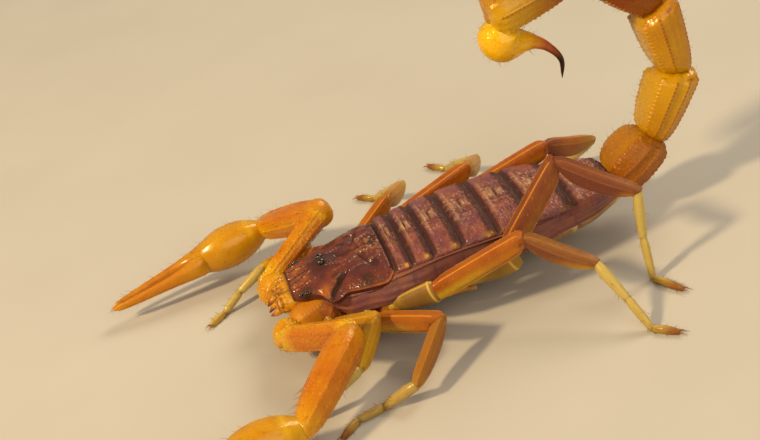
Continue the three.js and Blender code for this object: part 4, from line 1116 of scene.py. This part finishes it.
def pitched(pitch):
    """The course that rises by a pitch in degrees from straight back, and the way that its back faces."""
    pitch = np.radians(pitch)
    return np.array([0, np.cos(pitch), np.sin(pitch)]), np.array([0, -np.sin(pitch), np.cos(pitch)])


def both_sides(places):
    """Places from the middle of the back, as angles on both sides of a ring, with the belly's once."""
    return np.concatenate([90 + places, 90 - places[places < 180]])


tail_joints = [TAIL_BASE - [0, 1, 0], TAIL_BASE]
for length, pitch, *_ in TAIL:
    tail_joints.append(tail_joints[-1] + length * pitched(pitch)[0])
for number, (length, pitch, width, depth) in enumerate(TAIL, 1):
    before, start, end = tail_joints[number - 1:number + 2]
    after = tail_joints[number + 2] if number < 5 else None
    rows = np.multiply(FIRST_TAIL_ROWS if number == 1 else TAIL_ROWS, [1, width, depth])
    points, place, angle = segment(start, end, rows, pitched(pitch)[1], before, after, 116, 208, 2.6, 0.3)
    run = place * length
    places = np.array(TAIL_KEELS[number - 1])
    keel = ridges(angle, both_sides(places[1:]), 3.4) * stretch(place, 0.03, 0.1, 0.94, 0.99)
    keel = keel * beads(run, 0.3, 0.45)
    crown = ridges(angle, both_sides(places[:1]), 5.5) * stretch(place, 0.02, 0.12, 0.97, 1.0)
    uneven = 0.45 + 0.55 * chance(np.floor(run / CROWN_BEADS), np.sign(np.cos(angle)), number)
    saw = crown * (0.3 + 0.7 * beads(run, CROWN_BEADS) * uneven) * (1 + 0.6 * bump(place, 0.93, 0.05))
    saw = saw * (0.5 if number == 1 else 1)
    back_face = ease(places[0] - np.abs(np.degrees(angle) - 90), -2, 8)
    trough = ridges(angle, [90], 22) * stretch(place, 0.0, 0.2, 0.85, 1)
    hollow = ridges(angle, both_sides((places[1:] + places[:-1]) / 2), 9) * ease(place, 0.1, 0.25)
    grain = limb_grain(run / 0.24, angle, 44, 0.55, number)
    rough_part = np.maximum(0.4 * back_face, 0.6 * (number == 1))
    raised = 0.085 * keel + 0.14 * saw - 0.05 * trough - 0.05 * hollow
    points = relief(points, raised + grain * (0.018 + 0.07 * rough_part))
    dark_start, dark_end, gold_start, gold_end = TAIL_TONES[number - 1]
    share = ease(place, 0, 1)
    below = ease(-np.sin(angle), 0.2, 0.95)
    spots = bump(place, 0.965, 0.025) * ridges(angle, [-20, -52, -90, -128, -160], 12)
    dark = dark_start + (dark_end - dark_start) * share + 0.15 * below
    dark = strongest(dark * (1 - 0.4 * back_face), 0.8 * spots * (1 < number < 5),
                     0.3 * ease(-place, -0.03, 0.0), 0.75 * ease(keel, 0.3, 0.9))
    gold = gold_start + (gold_end - gold_start) * share
    gold = gold + 0.45 * back_face * (1 if number in (2, 3, 5) else 0.4)
    crest = strongest(0.55 * ease(saw, 0.4, 0.9), 0.3 * ease(grain, 0.4, 0.9) * rough_part)
    piece = skin(points, dark, gold * (1 - 0.5 * below), crest)
    build(f"tail_segment_{number}", [piece], golden_sclerotin, f"metasoma_{number}")
    bristles("tail", points, 90, 0.55, TAIL_HAIR, 0.25)
    if number > 1:
        cuff(before, start, end, 0.66 * depth)

# ---- Telson ------------------------------------------------------
# The last piece holds the venom: a smooth golden bulb, thin enough to glow, that draws out into a hard
# curved sting. The sting is heavily tanned, orange at its root and black at its point.

HINGE_OFFSET = 0.55
# Pitch and length of each stretch of the bulb's and the sting's middle line.
TELSON_STEPS = [(285, 1.5), (338, 2.0), (322, 1.3), (300, 1.3), (262, 1.3)]
# Rows of [stretches along the middle line, width, depth], and of [stretches, girth].
BULB = [[-0.1, 1.1, 1.1], [0, 1.6, 1.65], [0.25, 2.3, 2.4], [0.62, 2.85, 2.95], [0.95, 2.95, 3.05],
        [1.25, 2.5, 2.6], [1.5, 1.85, 1.95], [1.75, 1.32, 1.4], [2.05, 0.98, 1.0]]
TELSON_RINGS, BULB_SIDES = 110, 120
STING = [[1.95, 1.02], [2.3, 0.84], [3, 0.6], [4, 0.38], [4.6, 0.24], [5, 0.05]]

# The bulb is the clearest cuticle of all, bright yellow.
clear_gold_cuticle = cuticle(
    "clear_gold_cuticle", ("#eab402", "#dda202", "#f0c40a", "#b45a08", "#eebc30"), 0.24, 0.5, 0.4, 0.05)
# The sting hardens to red brown and black, and is the glossiest.
black_sclerotin = cuticle(
    "black_sclerotin", ("#a8480f", "#8c380c", "#d9860f", "#150605", "#b05a18"), 0.2, 0.15, 0.7, 0.03)

middle = [tail_joints[-1] + HINGE_OFFSET * pitched(TAIL[-1][1])[1]]
for pitch, length in TELSON_STEPS:
    middle.append(middle[-1] + length * pitched(pitch)[0])
middle = np.column_stack([np.arange(6), middle])

along = np.linspace(BULB[0][0], BULB[-1][0], TELSON_RINGS)
bulb = domed(tube(curve(middle, along), *curve(BULB, along).T, up=(0, 0.75, 0.66), sides=BULB_SIDES), 0.1)
share = edged(along[:, None])
grain = limb_grain(share * 7, turns(BULB_SIDES), 26, 0.5, 4)
bulb = relief(bulb, 0.03 * grain * (1 - ease(share, 1.2, 1.7)))
piece = skin(bulb, 0.5 * ease(share, 1.7, 2.1), 0.7 * (1 - ease(share, 0.1, 0.9)),
             0.3 * ease(grain, 0.4, 0.9) * (1 - ease(share, 0.8, 1.4)))
build("telson_bulb", [piece], clear_gold_cuticle, "telson_vesicle")
bristles("tail", bulb, 110, 0.5, TAIL_HAIR, 0.2)

along = np.linspace(STING[0][0], STING[-1][0], TELSON_RINGS)
girth = curve(STING, along)[:, 0]
barb = tube(curve(middle, along), girth, girth, up=(0, 0.3, 0.95), sides=48)
share = along[:, None]
piece = skin(barb, ease(share, 2.9, 4.0), 0.9 * (1 - ease(share, 2.0, 2.8)))
build("sting_point", [piece], black_sclerotin, "sting")
hinge = tail_joints[-1] + 0.3 * pitched(TELSON_STEPS[0][0])[1]
cuff(tail_joints[-2], hinge, middle[1, 1:], 1.3)

# ---- Cuffs and coat ----------------------------------------------
# The cuffs and hairs gathered above become one skin of joint membrane and one coat for each region.

# Joint membrane is soft, pale and a little wrinkled.
joint_membrane = cuticle(
    "joint_membrane", ("#c8942c", "#b07a26", "#d0ac68", "#5c3018", "#c89a50"), 0.4, 0.4, 0.2, 0.2)
build("joint_membranes", cuffs, joint_membrane)

# A hair is a single shaft of clear amber cuticle, which shows pale against the light.
hair_cuticle = cuticle(
    "hair_cuticle", ("#b4761e", "#8c4c14", "#d0a040", "#4c2410", "#b4761e"), 0.3, 0.2, 0.2, 0.0)
for region, tufts in coat.items():
    build(f"bristles_{region}", tufts, hair_cuticle)

# ---- Floor, light and camera -------------------------------------
# A plain pale floor under studio light: a small warm lamp high in front of the head, a wide fill by the
# camera, and one high behind the right side.

floor_mesh = bpy.data.meshes.new("floor")
floor_mesh.from_pydata([(-2, -2, 0), (2, -2, 0), (2, 2, 0), (-2, 2, 0)], [], [(0, 1, 2, 3)])
# Matt board, pale and slightly warm, with a faint uneven tone.
board = bpy.data.materials.new("matt_board")
board.use_nodes = True
tree = board.node_tree
place = add(tree, "TexCoord", output="Object")
cloud = add(tree, "TexNoise", {"Vector": place, "Scale": 60.0, "Detail": 3.0})
tone = add(tree, "Mix", {0: cloud, 6: linear("#c4beb2"), 7: linear("#bab3a6")}, 2, data_type="RGBA")
join(tree, tree.nodes["Principled BSDF"], {"Base Color": tone, "Roughness": 0.9, "Specular IOR Level": 0.2})
floor_mesh.materials.append(board)
floor = bpy.data.objects.new("floor", floor_mesh)
bpy.context.scene.collection.objects.link(floor)

world = bpy.data.worlds.new("studio")
world.use_nodes = True
tree = world.node_tree
join(tree, tree.nodes["Background"], {"Color": linear("#f2ece2"), "Strength": 0.3})
bpy.context.scene.world = world
bpy.context.scene.view_settings.view_transform = "Standard"


def stand(name, data, across, upward, backward, place):
    """A camera or lamp at a place in millimetres, with the ways that its own three axes run."""
    made = bpy.data.objects.new(name, data)
    pose = np.eye(4)
    pose[:3] = np.stack([across, upward, backward, place / 1000], -1)
    made.matrix_world = pose.T.tolist()
    bpy.context.scene.collection.objects.link(made)
    return made


# Camera: where it looks, in millimetres of the frame, the way back from there, and its turn.
TARGET = np.array([1.126, 4.343, 4.0])
AZIMUTH, ELEVATION, ROLL = np.radians([80.25, 30.31, 15.53])
DISTANCE = 87.2
backward = np.array([np.sin(AZIMUTH) * np.cos(ELEVATION), -np.cos(AZIMUTH) * np.cos(ELEVATION),
                     np.sin(ELEVATION)])
right = unit(np.cross([0, 0, 1], backward))
upward = np.cross(backward, right)
camera_data = bpy.data.cameras.new("camera")
camera_data.lens, camera_data.sensor_width = 59.54, 36.0
camera_data.shift_x, camera_data.shift_y = -0.1091, 0.006
camera_data.clip_start, camera_data.clip_end = 0.002, 10.0
bpy.context.scene.camera = stand(
    "camera", camera_data, right * np.cos(ROLL) - upward * np.sin(ROLL),
    upward * np.cos(ROLL) + right * np.sin(ROLL), backward, TARGET + DISTANCE * backward)

# Lamps: [name, direction from the object, distance in mm, size in m, power in W, colour].
LAMPS = [
    ["key", (0.28, -0.85, 0.78), 360, 0.045, 1.13, "#ffe4b4"],
    ["fill", (1.0, 0.2, 0.6), 450, 0.4, 0.9, "#fbf2e2"],
    ["back", (-0.45, 0.8, 0.9), 400, 0.2, 0.9, "#fff0d8"],
]
for name, way, distance, size, power, colour in LAMPS:
    lamp_data = bpy.data.lights.new(name, "AREA")
    lamp_data.shape = "DISK"
    lamp_data.size = size
    lamp_data.energy = power
    lamp_data.color = linear(colour)[:3]
    away = unit(way)
    side = unit(np.cross([0, 0, 1], away))
    stand(name, lamp_data, side, np.cross(away, side), away, TARGET + away * distance)
